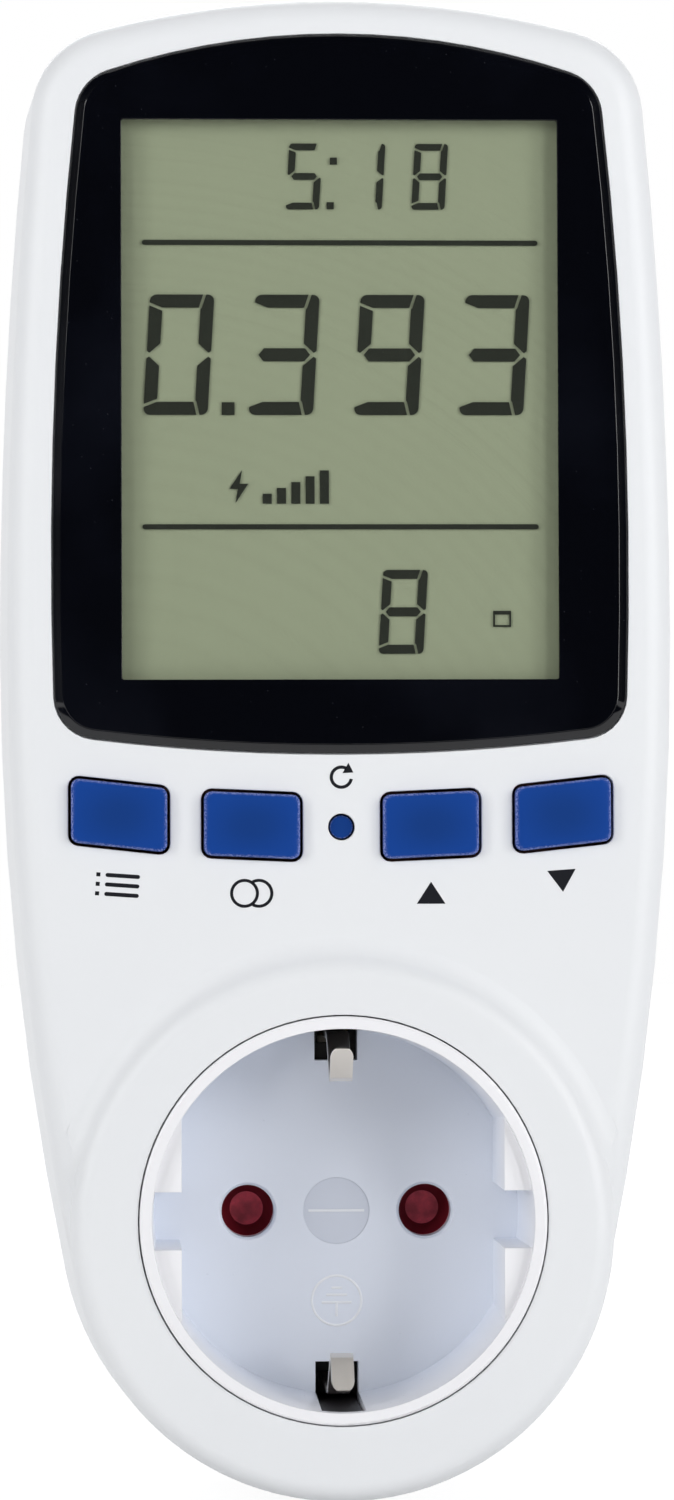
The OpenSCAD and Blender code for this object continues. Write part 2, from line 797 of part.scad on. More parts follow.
module earth_slots() {
  r = insert_d / 2;
  for (s = [0, 180])
    rotate([0, 0, s]) {
      block(-earth_slot_w / 2, r - 5.1, under_h - 1, earth_slot_w / 2, r - 1.2, floor_h + 0.5);
      block(-earth_slot_w / 2, r - 2.6, under_h - 1, earth_slot_w / 2, r + 1, rim_h - 1.3);
    }
}

module socket_insert() {
  edge = insert_d / 2 - rim_round;
  color(white)
    stand()
      difference() {
        union() {
          rod(insert_d / 2, floor_h, rim_h - rim_round);
          rod(edge, floor_h, rim_h);
          rotate_extrude()
            translate([edge, rim_h - rim_round])
              circle(r = rim_round);
          rod(flange_r, floor_h, tower_low);
        }
        well_shape();
        rod(well_d / 2, rim_h - rim_round, rim_h + 1);
        earth_slots();
      }
}

module socket_floor() {
  color(white)
    stand()
      difference() {
        union() {
          rod(insert_d / 2, under_h, floor_h);
          rod(spindle_d / 2, plate_top + 0.2, under_h + 1);
        }
        earth_slots();
        rod(disc_d / 2, floor_h - disc_depth, floor_h + 1);
        for (s = [-1, 1])
          translate([s * pin_x, 0, 0]) {
            rod(pin_hole_d / 2, under_h - 1, floor_h + 1);
            translate([0, 0, floor_h - 0.3])
              cylinder(d1 = pin_hole_d, d2 = pin_hole_d + 0.8, h = 0.4);
          }
      }
}

module shutter_disc() {
  color(red)
    stand()
      difference() {
        rod(shutter_d / 2, shutter_low, shutter_top);
        rod(spindle_d / 2 + 0.06, shutter_low - 1, shutter_top + 1);
        difference() {
          rod(6.1, shutter_low - 1, shutter_low + 2);
          rod(spindle_d / 2 + 0.9, shutter_low - 2, shutter_low + 3);
        }
        for (s = [0, 180])
          rotate([0, 0, s]) {
            translate([pin_x, 0, shutter_top - pit_depth])
              cylinder(d1 = pin_hole_d - 2, d2 = pin_hole_d, h = pit_depth + 0.001);
            rotate([0, 0, -shutter_turn])
              translate([pin_x, 0, 0])
                rod(pin_hole_d / 2 + 0.1, shutter_low - 1, shutter_top + 1);
          }
      }
}

module shutter_spring() {
  r = (6.1 + spindle_d / 2 + 0.9) / 2;
  color(steel)
    stand()
      tube([for (i = [0 : 36]) [r * cos(i * 15), r * sin(i * 15), plate_top + 0.5 + i * 0.9 / 36]], 0.35, 8);
}

module contact_carrier() {
  r = insert_d / 2;
  color(dark)
    stand()
      difference() {
        union() {
          difference() {
            rod(ring_out, plug_seat, floor_h);
            rod(ring_in, plug_seat - 1, floor_h + 1);
          }
          rod(ring_in + 0.5, plate_low, plate_top);
          difference() {
            rod(shutter_d / 2 + 1.6, plate_low, under_h);
            rod(shutter_d / 2 + 0.5, plate_low - 1, under_h + 1);
          }
          for (s = [-1, 1])
            difference() {
              block(s * pin_x - 4.4, -5.8, plate_low - 4, s * pin_x + 4.4, 5.8, plate_low + 0.3);
              block(s * pin_x - 3.2, -4.6, plate_low - 5, s * pin_x + 3.2, 4.6, plate_low);
            }
          for (s = [0, 180])
            rotate([0, 0, s])
              intersection() {
                block(-slot_x, r - 1, plate_low, slot_x, r + 1, rim_h - 1.6);
                difference() {
                  rod(r - 0.05, plate_low - 1, rim_h);
                  rod(r - 0.9, plate_low - 2, rim_h + 1);
                }
              }
          for (s = [0, 180])
            rotate([0, 0, s])
              block(-slot_x, r - 0.7, plate_low, slot_x, r + 1, under_h - 0.4);
        }
        for (s = [-1, 1])
          translate([s * pin_x, 0, 0])
            rod(pin_hole_d / 2 + 0.4, plate_low - 1, plate_top + 1);
        for (s = [0, 180])
          rotate([0, 0, s])
            block(-clip_w / 2 - 0.5, r - 3.4, plate_low - 1, clip_w / 2 + 0.5, r - 0.9, plate_top + 1);
        for (s = [-1, 1])
          block(s * pin_x - 4.6, 10, plug_seat - 1, s * pin_x + 4.6, 30, plug_seat + 9);
      }
}

contact_t = 0.8;
contact_top = plate_low - 0.6;

module contact(x, base, tab_x) {
  path = [[-3.5, contact_top], [-2.7, contact_top - 2.4], [-2.7, contact_top - 4], [-3.3, base + 1.6],
    [-2.8, base + 0.7], [-2, base + contact_t / 2], [2, base + contact_t / 2],
    [2.8, base + 0.7], [3.3, base + 1.6], [2.7, contact_top - 4], [2.7, contact_top - 2.4],
    [3.5, contact_top]];
  color(brass)
    stand()
      union() {
        translate([x - 2.5, 0, 0])
          rotate([90, 0, 90])
            linear_extrude(height = 5)
              polygon(strip_poly(path, contact_t));
        block(tab_x - 1, 1.2, base, tab_x + 1, tab_end, base + contact_t);
      }
}

line_base = pin_top + 2 * shunt_t + shunt_gap;

module line_contact() {
  contact(pin_x, line_base, pin_x + 1.8);
}

module neutral_contact() {
  contact(-pin_x, pin_top, -pin_x);
}

module shunt() {
  lo = pin_top + shunt_t / 2;
  hi = line_base - shunt_t / 2;
  color([0.6, 0.5, 0.42])
    stand()
      union() {
        translate([pin_x - 2.5, 0, 0])
          rotate([90, 0, 90])
            linear_extrude(height = 5)
              polygon(strip_poly([[5, lo], [-4, lo], [-4.5, lo + 0.2], [-4.7, (lo + hi) / 2],
                [-4.5, hi - 0.2], [-4, hi], [4, hi]], shunt_t));
        block(pin_x - 2.5, 4, pin_top, pin_x - 0.5, 9, pin_top + shunt_t);
      }
}

module earth_clip() {
  r = insert_d / 2 - 2.3;
  base = plug_seat + 0.8 + clip_t / 2;
  bump = rim_h - 6.4;
  nose = insert_d / 2 - 6.6;
  tip = insert_d / 2 - 3.2;
  path = [[nose - 1.6, base], [r - 0.8, base], [r - 0.2, base + 0.2], [r, base + 0.8], [r, floor_h + 3],
    [r - 0.3, floor_h + 4.6], [nose + 0.3, bump - 0.9], [nose, bump], [nose + 0.3, bump + 0.9],
    [tip, rim_h - 2.6]];
  color(steel)
    stand()
      intersection() {
        translate([-clip_w / 2, 0, 0])
          rotate([90, 0, 90])
            linear_extrude(height = clip_w)
              polygon(strip_poly(path, clip_t));
        union() {
          block(-5, 0, 0, 5, 40, bump + 1);
          block(-5, 0, bump, 5, tip - clip_w / 2, rim_h);
          translate([0, tip - clip_w / 2, 0])
            rod(clip_w / 2, bump, rim_h);
        }
      }
}

module earth_clip_top() {
  earth_clip();
}

module earth_clip_low() {
  mirror([0, 0, 1])
    earth_clip();
}

module earth_bridge() {
  r = insert_d / 2 - 2;
  color(brass)
    stand()
      block(-2.5, -r, plug_seat, 2.5, r, plug_seat + 0.8);
}

module plug_base() {
  r = plug_d / 2;
  color(white)
    stand()
      difference() {
        union() {
          intersection() {
            union() {
              rod(r, 1 - plug_len, 0.5);
              translate([0, 0, -plug_len])
                cylinder(r1 = r - 1, r2 = r, h = 1);
            }
            union() {
              block(-plug_flats / 2, -30, -plug_len, plug_flats / 2, 30, 1);
              block(-30, -plug_rib / 2, -plug_len, 30, plug_rib / 2, 1);
            }
          }
          rod(r, 0, wall);
        }
        for (s = [-1, 1])
          translate([s * pin_x, 0, 0])
            rod(shank_r + 0.05, -plug_len - 1, plug_seat + 1);
        for (s = [-1, 1])
          block(-4.2, s > 0 ? r - 1.2 : -r - 1, -plug_len - 1, 4.2, s > 0 ? r + 1 : 1.2 - r, -2);
      }
}

module plug_plate() {
  color(white)
    stand()
      difference() {
        rod(ring_out + 0.2, wall, plug_seat);
        for (s = [-1, 1])
          translate([s * pin_x, 0, 0])
            rod(shank_r + 0.05, wall - 1, plug_seat + 1);
      }
}

module plug_pins() {
  r = pin_d / 2;
  tip = -plug_len - pin_len;
  color(steel)
    stand()
      for (s = [-1, 1])
        translate([s * pin_x, 0, 0])
          union() {
            rod(r, tip + 1.2, -plug_len);
            rod(shank_r, -plug_len - 1, plug_seat + 0.5);
            translate([0, 0, tip])
              cylinder(r1 = r - 1.1, r2 = r, h = 1.2);
            rod(r + 1, plug_seat, pin_top);
          }
}

module plug_earth_contacts() {
  r = plug_d / 2;
  color(steel)
    stand()
      for (s = [0, 180])
        rotate([0, 0, s])
          union() {
            block(-4, r - 1.2, -plug_len + 0.5, 4, r - 0.4, -2.2);
            block(-3, r - 1.2, -plug_len + 2.5, 3, r - 0.1, -4);
          }
}

module rear_board() {
  color(green)
    stand()
      difference() {
        block(-rear_board_w / 2, board_low_z, rear_board_low,
          rear_board_w / 2, rear_board_top_z, rear_board_top);
        for (p = rear_posts)
          translate(p)
            rod(small_r + 0.15, rear_board_low - 1, rear_board_top + 1);
      }
}

module film_capacitor() {
  color([0.75, 0.62, 0.2])
    stand()
      translate([-cap_x, board_low_z + mid_row - 1, 0])
        slab(box_ring(-cap_w / 2, -cap_l / 2, cap_w / 2, cap_l / 2, 0.6), rear_board_top,
          rear_board_top + cap_h);
}

module electrolytic() {
  color(dark)
    stand()
      translate([can_x, board_low_z + low_row, 0])
        difference() {
          rod(can_d / 2, rear_board_top, rear_board_top + can_h);
          difference() {
            rod(can_d / 2 + 1, rear_board_top + 1.6, rear_board_top + 2.2);
            rod(can_d / 2 - 0.3, rear_board_top, rear_board_top + 3);
          }
        }
}

module varistor() {
  color([0.2, 0.35, 0.6])
    stand()
      translate([0, board_low_z + mid_row, rear_board_top + varistor_d / 2 + 1])
        union() {
          rotate([90, 0, 0])
            cylinder(r = varistor_d / 2, h = varistor_t, center = true);
          for (s = [-1, 1])
            translate([s * varistor_d / 4, 0, 0])
              rod(0.4, -varistor_d / 2 - 1, 2 - varistor_d / 2);
        }
}

module chip(x0, y0, x1, y1, h) {
  union() {
    block(x0, y0, h, x1, y1, h + 1.6);
    for (y = [y0 + 0.6 : 1.27 : y1 - 0.6])
      block(x0 - 1, y, h, x1 + 1, y + 0.4, h + 0.3);
  }
}

module metering_chip() {
  color(dark)
    stand()
      translate([chip_x, board_low_z + mid_row + 4, 0])
        chip(-chip_w / 2, -chip_l / 2, chip_w / 2, chip_l / 2, rear_board_top);
}

module driver_chip() {
  color(dark)
    stand()
      translate([0, (window_low_z + window_top_z) / 2, board_low])
        mirror([0, 0, 1])
          chip(-driver_w / 2, -driver_w / 2, driver_w / 2, driver_w / 2, 0);
}

module backup_cell() {
  color([0.15, 0.45, 0.3])
    stand()
      translate([cell_x, board_low_z + top_row, rear_board_top + cell_d / 2 + 0.2])
        rotate([0, 90, 0])
          union() {
            cylinder(r = cell_d / 2, h = cell_l, center = true);
            cylinder(r = cell_d / 4, h = cell_l + 1, center = true);
            translate([cell_d / 2 - 1, 0, 0])
              cube([2.4, 3, cell_l - 1], center = true);
          }
}

module board_link() {
  z = rear_board_top_z - link_t / 2 - 0.95;
  pins = floor((link_w - 2) / link_pitch);
  half_t = link_t / 2;
  half_pin = link_pin / 2;
  color(dark)
    stand()
      union() {
        block(-link_w / 2, z - half_t, rear_board_top, link_w / 2, z + half_t, rear_board_top + link_t);
        block(-link_w / 2, z - half_t, board_low - link_t, link_w / 2, z + half_t, board_low);
        for (i = [0 : pins])
          translate([(i - pins / 2) * link_pitch, z, 0])
            block(-half_pin, -half_pin, rear_board_top + half_t, half_pin, half_pin, board_low - half_t);
      }
}

module wire(x, h0) {
  start = tab_end + 0.25;
  land = board_low_z + 4;
  lay = rear_board_top + wire_d / 2 + 0.15;
  span = land - start;
  tube([for (i = [0 : 12]) let (t = i / 12)
    [x, start + span * t, h0 + (lay - h0) * t * t * (3 - 2 * t) + wire_bow * sin(180 * t)]], wire_d / 2, 10);
}

module sense_wires() {
  color([0.7, 0.2, 0.2])
    stand()
      union() {
        wire(pin_x + 1.8, line_base + contact_t / 2 + 0.4);
        wire(pin_x - 1.5, pin_top + shunt_t / 2 + 0.45);
        wire(-pin_x, pin_top + contact_t / 2 + 0.35);
      }
}

front_cover();
rear_cover();
housing_screws();
display_bezel();
display_window();
lcd_panel();
lcd_holder();
contact_strips();
display_board();
board_screws();
keypad_mat();
key_function();
key_cost();
key_up();
key_down();
key_reset();
pill_function();
pill_cost();
pill_up();
pill_down();
pill_reset();
socket_insert();
socket_floor();
shutter_disc();
shutter_spring();
contact_carrier();
line_contact();
neutral_contact();
shunt();
earth_clip_top();
earth_clip_low();
earth_bridge();
plug_base();
plug_plate();
plug_pins();
plug_earth_contacts();
rear_board();
film_capacitor();
electrolytic();
varistor();
metering_chip();
driver_chip();
backup_cell();
board_link();
sense_wires();
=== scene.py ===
import json
import math

import bmesh
import bpy
from mathutils import Matrix, Vector


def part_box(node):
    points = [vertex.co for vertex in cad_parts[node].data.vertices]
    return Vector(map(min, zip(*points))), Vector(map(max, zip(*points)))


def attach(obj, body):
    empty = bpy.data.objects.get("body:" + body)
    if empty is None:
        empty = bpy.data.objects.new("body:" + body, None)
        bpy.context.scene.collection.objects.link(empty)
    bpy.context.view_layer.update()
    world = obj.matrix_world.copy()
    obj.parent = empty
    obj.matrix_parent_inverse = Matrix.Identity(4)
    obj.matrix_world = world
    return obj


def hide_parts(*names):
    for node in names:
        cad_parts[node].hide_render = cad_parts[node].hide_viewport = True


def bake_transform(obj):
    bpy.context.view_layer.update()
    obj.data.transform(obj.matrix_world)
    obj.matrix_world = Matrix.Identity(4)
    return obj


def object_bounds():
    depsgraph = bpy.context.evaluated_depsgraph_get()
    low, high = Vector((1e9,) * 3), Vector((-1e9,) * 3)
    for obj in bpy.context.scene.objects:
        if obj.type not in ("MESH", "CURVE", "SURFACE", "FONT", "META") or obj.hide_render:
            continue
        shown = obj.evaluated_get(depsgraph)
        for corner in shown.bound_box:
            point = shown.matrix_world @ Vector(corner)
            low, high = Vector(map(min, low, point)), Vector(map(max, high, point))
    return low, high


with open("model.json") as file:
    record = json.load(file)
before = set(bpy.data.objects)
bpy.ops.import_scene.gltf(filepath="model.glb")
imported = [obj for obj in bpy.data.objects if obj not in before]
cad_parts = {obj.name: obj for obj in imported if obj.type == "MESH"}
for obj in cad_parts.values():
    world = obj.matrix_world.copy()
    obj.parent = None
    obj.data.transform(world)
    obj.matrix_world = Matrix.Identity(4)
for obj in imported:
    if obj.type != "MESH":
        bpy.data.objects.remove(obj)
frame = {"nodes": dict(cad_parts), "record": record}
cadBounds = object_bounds()
nodes = frame["nodes"]
mm = 0.001
print("stage: frame loaded,", len(nodes), "CAD nodes")

# Heights along Y that the dressing sits on, all read from the frame
bezelProud = 0.5  # mm that the bezel stands out of the flat front
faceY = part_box("display_bezel")[0].y + bezelProud * mm
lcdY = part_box("lcd_panel")[0].y
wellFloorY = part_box("socket_floor")[0].y
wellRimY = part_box("socket_insert")[0].y

weldMm = 0.002  # points of a CAD mesh nearer than this are one point
growMm = 0.0005  # slices of one drawn line grow together below this
edgeLimit = 28  # degrees, a sharper edge of a CAD solid stays crisp
colourA, colourB, colourOut = 6, 7, 2  # the sockets of a Mix node that carry colours


def linearColour(hexText):
    channels = [int(hexText[i:i + 2], 16) / 255 for i in (1, 3, 5)]
    return tuple(c / 12.92 if c <= 0.04045 else ((c + 0.055) / 1.055) ** 2.4 for c in channels) + (1.0,)


def addNode(tree, kind, inputs=None, **settings):
    node = tree.nodes.new(kind)
    for name, value in settings.items():
        setattr(node, name, value)
    for name, value in (inputs or {}).items():
        if isinstance(value, bpy.types.NodeSocket):
            tree.links.new(value, node.inputs[name])
        else:
            node.inputs[name].default_value = value
    return node


def startMaterial(name):
    material = bpy.data.materials.new(name)
    material.use_nodes = True
    tree = material.node_tree
    tree.nodes.clear()
    place = addNode(tree, "ShaderNodeTexCoord").outputs["Object"]
    return material, tree, place


def perMetre(sizeMm):
    return 1 / (sizeMm * mm)


# Moulded plastic: a spark-eroded tool leaves fine matt grain, and slow drift in tone where the melt flowed
def mouldedPlastic(name, colour, shade, roughness, ior=1.53, specular=0.5, driftMm=28, grainMm=0.35,
                   grainDepth=0.004, grainBump=0.35, roughSpread=0.05, softMm=0.2):
    material, tree, place = startMaterial(name)
    drift = addNode(tree, "ShaderNodeTexNoise", {"Vector": place, "Scale": perMetre(driftMm), "Detail": 3.0})
    grain = addNode(tree, "ShaderNodeTexNoise", {"Vector": place, "Scale": perMetre(grainMm), "Detail": 2.0})
    tone = addNode(tree, "ShaderNodeMix", {
        0: drift.outputs["Fac"], colourA: linearColour(shade), colourB: linearColour(colour)},
        data_type="RGBA")
    rough = addNode(tree, "ShaderNodeMapRange", {
        "Value": grain.outputs["Fac"], "To Min": roughness - roughSpread, "To Max": roughness + roughSpread})
    soft = addNode(tree, "ShaderNodeBevel", {"Radius": softMm * mm}, samples=6)  # tool edges are never sharp
    bump = addNode(tree, "ShaderNodeBump", {
        "Height": grain.outputs["Fac"], "Strength": grainBump, "Distance": grainDepth * mm,
        "Normal": soft.outputs["Normal"]})
    shader = addNode(tree, "ShaderNodeBsdfPrincipled", {
        "Base Color": tone.outputs[colourOut], "Roughness": rough.outputs["Result"],
        "Normal": bump.outputs["Normal"], "IOR": ior, "Specular IOR Level": specular})
    addNode(tree, "ShaderNodeOutputMaterial", {"Surface": shader.outputs["BSDF"]})
    return material


# Polycarbonate socket well: white at the rim; painted shade makes it darker and cooler deeper in the well,
# and darker again on the sunk disc of the floor
def wellShadedPolycarbonate(name, rimColour, deepShadeColour, discShadeColour, roughness=0.3, rimMm=2, deepMm=0.5,
                      discMm=(0.03, 0.13), grainMm=0.5, grainDepth=0.002, grainBump=0.35, roughSpread=0.05,
                      softMm=0.12):
    material, tree, place = startMaterial(name)
    grain = addNode(tree, "ShaderNodeTexNoise", {"Vector": place, "Scale": perMetre(grainMm), "Detail": 2.0})
    depth = addNode(tree, "ShaderNodeSeparateXYZ", {"Vector": place}).outputs["Y"]
    # painted shade: the tone goes from the rim colour to the darker deep colour towards the floor of the well
    deepShadeShare = addNode(tree, "ShaderNodeMapRange", {
        "Value": depth, "From Min": wellRimY + rimMm * mm, "From Max": wellFloorY - deepMm * mm})
    # painted shade: the sunk disc of the floor is painted darker still
    sunk = addNode(tree, "ShaderNodeMapRange", {
        "Value": depth, "From Min": wellFloorY + discMm[0] * mm, "From Max": wellFloorY + discMm[1] * mm})
    shadedWall = addNode(tree, "ShaderNodeMix", {
        0: deepShadeShare.outputs["Result"], colourA: linearColour(rimColour), colourB: linearColour(deepShadeColour)},
        data_type="RGBA")
    tone = addNode(tree, "ShaderNodeMix", {
        0: sunk.outputs["Result"], colourA: shadedWall.outputs[colourOut], colourB: linearColour(discShadeColour)},
        data_type="RGBA")
    rough = addNode(tree, "ShaderNodeMapRange", {
        "Value": grain.outputs["Fac"], "To Min": roughness - roughSpread, "To Max": roughness + roughSpread})
    soft = addNode(tree, "ShaderNodeBevel", {"Radius": softMm * mm}, samples=6)
    bump = addNode(tree, "ShaderNodeBump", {
        "Height": grain.outputs["Fac"], "Strength": grainBump, "Distance": grainDepth * mm,
        "Normal": soft.outputs["Normal"]})
    shader = addNode(tree, "ShaderNodeBsdfPrincipled", {
        "Base Color": tone.outputs[colourOut], "Roughness": rough.outputs["Result"],
        "Normal": bump.outputs["Normal"], "IOR": 1.58})
    addNode(tree, "ShaderNodeOutputMaterial", {"Surface": shader.outputs["BSDF"]})
    return material


# Silicone rubber key: painted shade darkens the middle; the rim gets a painted highlight in pale lilac specks
def rubberKey(name, colour, middle, highlightRim, roughness=0.62, specular=0.19, dishShadeReach=(0.05, 0.6),
              highlightSlope=(0.98, 0.8), speckMm=0.16, speckLevels=(0.42, 0.62), grainMm=0.3, grainDepth=0.02,
              grainBump=0.35, softMm=0.28):
    material, tree, place = startMaterial(name)
    speck = addNode(tree, "ShaderNodeTexNoise", {"Vector": place, "Scale": perMetre(speckMm), "Detail": 1.0})
    grain = addNode(tree, "ShaderNodeTexNoise", {"Vector": place, "Scale": perMetre(grainMm), "Detail": 2.0})
    share = addNode(tree, "ShaderNodeTexCoord").outputs["Generated"]  # 0 to 1 across each key
    centred = addNode(tree, "ShaderNodeVectorMath", {0: share, 1: (-0.5, 0, -0.5)}, operation="ADD")
    flat = addNode(tree, "ShaderNodeVectorMath", {0: centred.outputs[0], 1: (1, 0, 1)}, operation="MULTIPLY")
    reach = addNode(tree, "ShaderNodeVectorMath", {0: flat.outputs[0]}, operation="LENGTH")
    # painted shade: the middle of each key is darker, its edges lighter
    dishShade = addNode(tree, "ShaderNodeMapRange", {
        "Value": reach.outputs["Value"], "From Min": dishShadeReach[0], "From Max": dishShadeReach[1]},
        interpolation_type="SMOOTHSTEP")
    face = addNode(tree, "ShaderNodeMix", {
        0: dishShade.outputs["Result"], colourA: linearColour(middle), colourB: linearColour(colour)},
        data_type="RGBA")
    soft = addNode(tree, "ShaderNodeBevel", {"Radius": softMm * mm}, samples=6)
    # painted highlight: where the rounded rim turns from the front it takes the pale colour, broken into
    # specks
    slope = addNode(tree, "ShaderNodeVectorMath", {0: soft.outputs["Normal"], 1: (0, -1, 0)},
                    operation="DOT_PRODUCT")
    edge = addNode(tree, "ShaderNodeMapRange", {
        "Value": slope.outputs["Value"], "From Min": highlightSlope[0], "From Max": highlightSlope[1]})
    specks = addNode(tree, "ShaderNodeMapRange", {
        "Value": speck.outputs["Fac"], "From Min": speckLevels[0], "From Max": speckLevels[1]})
    speckledHighlight = addNode(tree, "ShaderNodeMath", {0: edge.outputs["Result"], 1: specks.outputs["Result"]},
                   operation="MULTIPLY")
    tone = addNode(tree, "ShaderNodeMix", {
        0: speckledHighlight.outputs[0], colourA: face.outputs[colourOut], colourB: linearColour(highlightRim)}, data_type="RGBA")
    bump = addNode(tree, "ShaderNodeBump", {
        "Height": grain.outputs["Fac"], "Strength": grainBump, "Distance": grainDepth * mm,
        "Normal": soft.outputs["Normal"]})
    shader = addNode(tree, "ShaderNodeBsdfPrincipled", {
        "Base Color": tone.outputs[colourOut], "Roughness": roughness, "Normal": bump.outputs["Normal"],
        "IOR": 1.41, "Specular IOR Level": specular})
    addNode(tree, "ShaderNodeOutputMaterial", {"Surface": shader.outputs["BSDF"]})
    return material


# Red polyamide shutter: the flat pit floors facing the front are painted lighter and mottled, and painted
# shade darkens the steep walls
def shutterPolyamide(name, frontLitColour, wallShadeColour, roughness=0.5, specular=0.35, litSlope=(0.45, 0.95),
                     grainMm=0.35, grainDepth=0.02, grainBump=0.4, grainLevels=(0.25, 0.75), grainLow=0.8,
                     cloudMm=2.4, cloudLevels=(0.32, 0.5), cloudLow=0.5):
    material, tree, place = startMaterial(name)
    grain = addNode(tree, "ShaderNodeTexNoise", {"Vector": place, "Scale": perMetre(grainMm), "Detail": 3.0})
    cloud = addNode(tree, "ShaderNodeTexNoise", {"Vector": place, "Scale": perMetre(cloudMm), "Detail": 1.0})
    normal = addNode(tree, "ShaderNodeNewGeometry").outputs["Normal"]
    slope = addNode(tree, "ShaderNodeVectorMath", {0: normal, 1: (0, -1, 0)}, operation="DOT_PRODUCT")
    # painted shade: a face takes the dark wall colour as it turns away from the front, the lit colour as it
    # faces it
    flat = addNode(tree, "ShaderNodeMapRange", {
        "Value": slope.outputs["Value"], "From Min": litSlope[0], "From Max": litSlope[1]})
    speck = addNode(tree, "ShaderNodeMapRange", {
        "Value": grain.outputs["Fac"], "From Min": grainLevels[0], "From Max": grainLevels[1],
        "To Min": grainLow, "To Max": 1.0})
    patch = addNode(tree, "ShaderNodeMapRange", {
        "Value": cloud.outputs["Fac"], "From Min": cloudLevels[0], "From Max": cloudLevels[1],
        "To Min": cloudLow, "To Max": 1.0})
    mottle = addNode(tree, "ShaderNodeMath", {0: speck.outputs["Result"], 1: patch.outputs["Result"]},
                     operation="MULTIPLY")
    litShare = addNode(tree, "ShaderNodeMath", {0: flat.outputs["Result"], 1: mottle.outputs[0]},
                    operation="MULTIPLY")
    tone = addNode(tree, "ShaderNodeMix", {
        0: litShare.outputs[0], colourA: linearColour(wallShadeColour), colourB: linearColour(frontLitColour)},
        data_type="RGBA")
    bump = addNode(tree, "ShaderNodeBump", {
        "Height": grain.outputs["Fac"], "Strength": grainBump, "Distance": grainDepth * mm})
    shader = addNode(tree, "ShaderNodeBsdfPrincipled", {
        "Base Color": tone.outputs[colourOut], "Roughness": roughness, "Normal": bump.outputs["Normal"],
        "IOR": 1.53, "Specular IOR Level": specular})
    addNode(tree, "ShaderNodeOutputMaterial", {"Surface": shader.outputs["BSDF"]})
    return material


# Black acrylic from a polished mould: deep gloss, with sparse fine dust and a faint wiped haze
def glossAcrylic(name, colour, haze, dust, roughness=0.07, hazeRough=0.07, hazeMm=22, hazeLevels=(0.45, 0.75),
                 dustMm=0.45, dustReach=(0.14, 0.06), dustChance=(0.93, 1.0), softMm=0.15):
    material, tree, place = startMaterial(name)
    wiped = addNode(tree, "ShaderNodeTexNoise", {"Vector": place, "Scale": perMetre(hazeMm), "Detail": 4.0})
    film = addNode(tree, "ShaderNodeMapRange", {
        "Value": wiped.outputs["Fac"], "From Min": hazeLevels[0], "From Max": hazeLevels[1]})
    cells = addNode(tree, "ShaderNodeTexVoronoi", {"Vector": place, "Scale": perMetre(dustMm)})
    grains = addNode(tree, "ShaderNodeMapRange", {
        "Value": cells.outputs["Distance"], "From Min": dustReach[0], "From Max": dustReach[1]})
    chance = addNode(tree, "ShaderNodeSeparateColor", {"Color": cells.outputs["Color"]})
    few = addNode(tree, "ShaderNodeMapRange", {
        "Value": chance.outputs["Red"], "From Min": dustChance[0], "From Max": dustChance[1]})
    specks = addNode(tree, "ShaderNodeMath", {0: grains.outputs["Result"], 1: few.outputs["Result"]},
                     operation="MULTIPLY")
    base = addNode(tree, "ShaderNodeMix", {
        0: film.outputs["Result"], colourA: linearColour(colour), colourB: linearColour(haze)},
        data_type="RGBA")
    tone = addNode(tree, "ShaderNodeMix", {
        0: specks.outputs[0], colourA: base.outputs[colourOut], colourB: linearColour(dust)},
        data_type="RGBA")
    rough = addNode(tree, "ShaderNodeMapRange", {
        "Value": film.outputs["Result"], "To Min": roughness, "To Max": roughness + hazeRough})
    soft = addNode(tree, "ShaderNodeBevel", {"Radius": softMm * mm}, samples=12)
    shader = addNode(tree, "ShaderNodeBsdfPrincipled", {
        "Base Color": tone.outputs[colourOut], "Roughness": rough.outputs["Result"],
        "Normal": soft.outputs["Normal"], "IOR": 1.49})
    addNode(tree, "ShaderNodeOutputMaterial", {"Surface": shader.outputs["BSDF"]})
    return material


# Stamped and plated metal: soft draw marks along the strip, plating that varies a little in gloss
def stampedMetal(name, colour, shade, roughness, cloudMm=6, markMm=0.3, stretch=(1, 14, 14), markDepth=0.002,
                 markBump=0.15, roughSpread=(0.05, 0.06), softMm=0.12):
    material, tree, place = startMaterial(name)
    drawn = addNode(tree, "ShaderNodeMapping", {"Vector": place, "Scale": [1 / factor for factor in stretch]})
    marks = addNode(tree, "ShaderNodeTexNoise", {
        "Vector": drawn.outputs["Vector"], "Scale": perMetre(markMm), "Detail": 3.0})
    cloud = addNode(tree, "ShaderNodeTexNoise", {"Vector": place, "Scale": perMetre(cloudMm), "Detail": 2.0})
    tone = addNode(tree, "ShaderNodeMix", {
        0: cloud.outputs["Fac"], colourA: linearColour(shade), colourB: linearColour(colour)},
        data_type="RGBA")
    rough = addNode(tree, "ShaderNodeMapRange", {
        "Value": marks.outputs["Fac"], "To Min": roughness - roughSpread[0],
        "To Max": roughness + roughSpread[1]})
    soft = addNode(tree, "ShaderNodeBevel", {"Radius": softMm * mm}, samples=6)
    bump = addNode(tree, "ShaderNodeBump", {
        "Height": marks.outputs["Fac"], "Strength": markBump, "Distance": markDepth * mm,
        "Normal": soft.outputs["Normal"]})
    shader = addNode(tree, "ShaderNodeBsdfPrincipled", {
        "Base Color": tone.outputs[colourOut], "Metallic": 1.0, "Roughness": rough.outputs["Result"],
        "Normal": bump.outputs["Normal"]})
    addNode(tree, "ShaderNodeOutputMaterial", {"Surface": shader.outputs["BSDF"]})
    return material


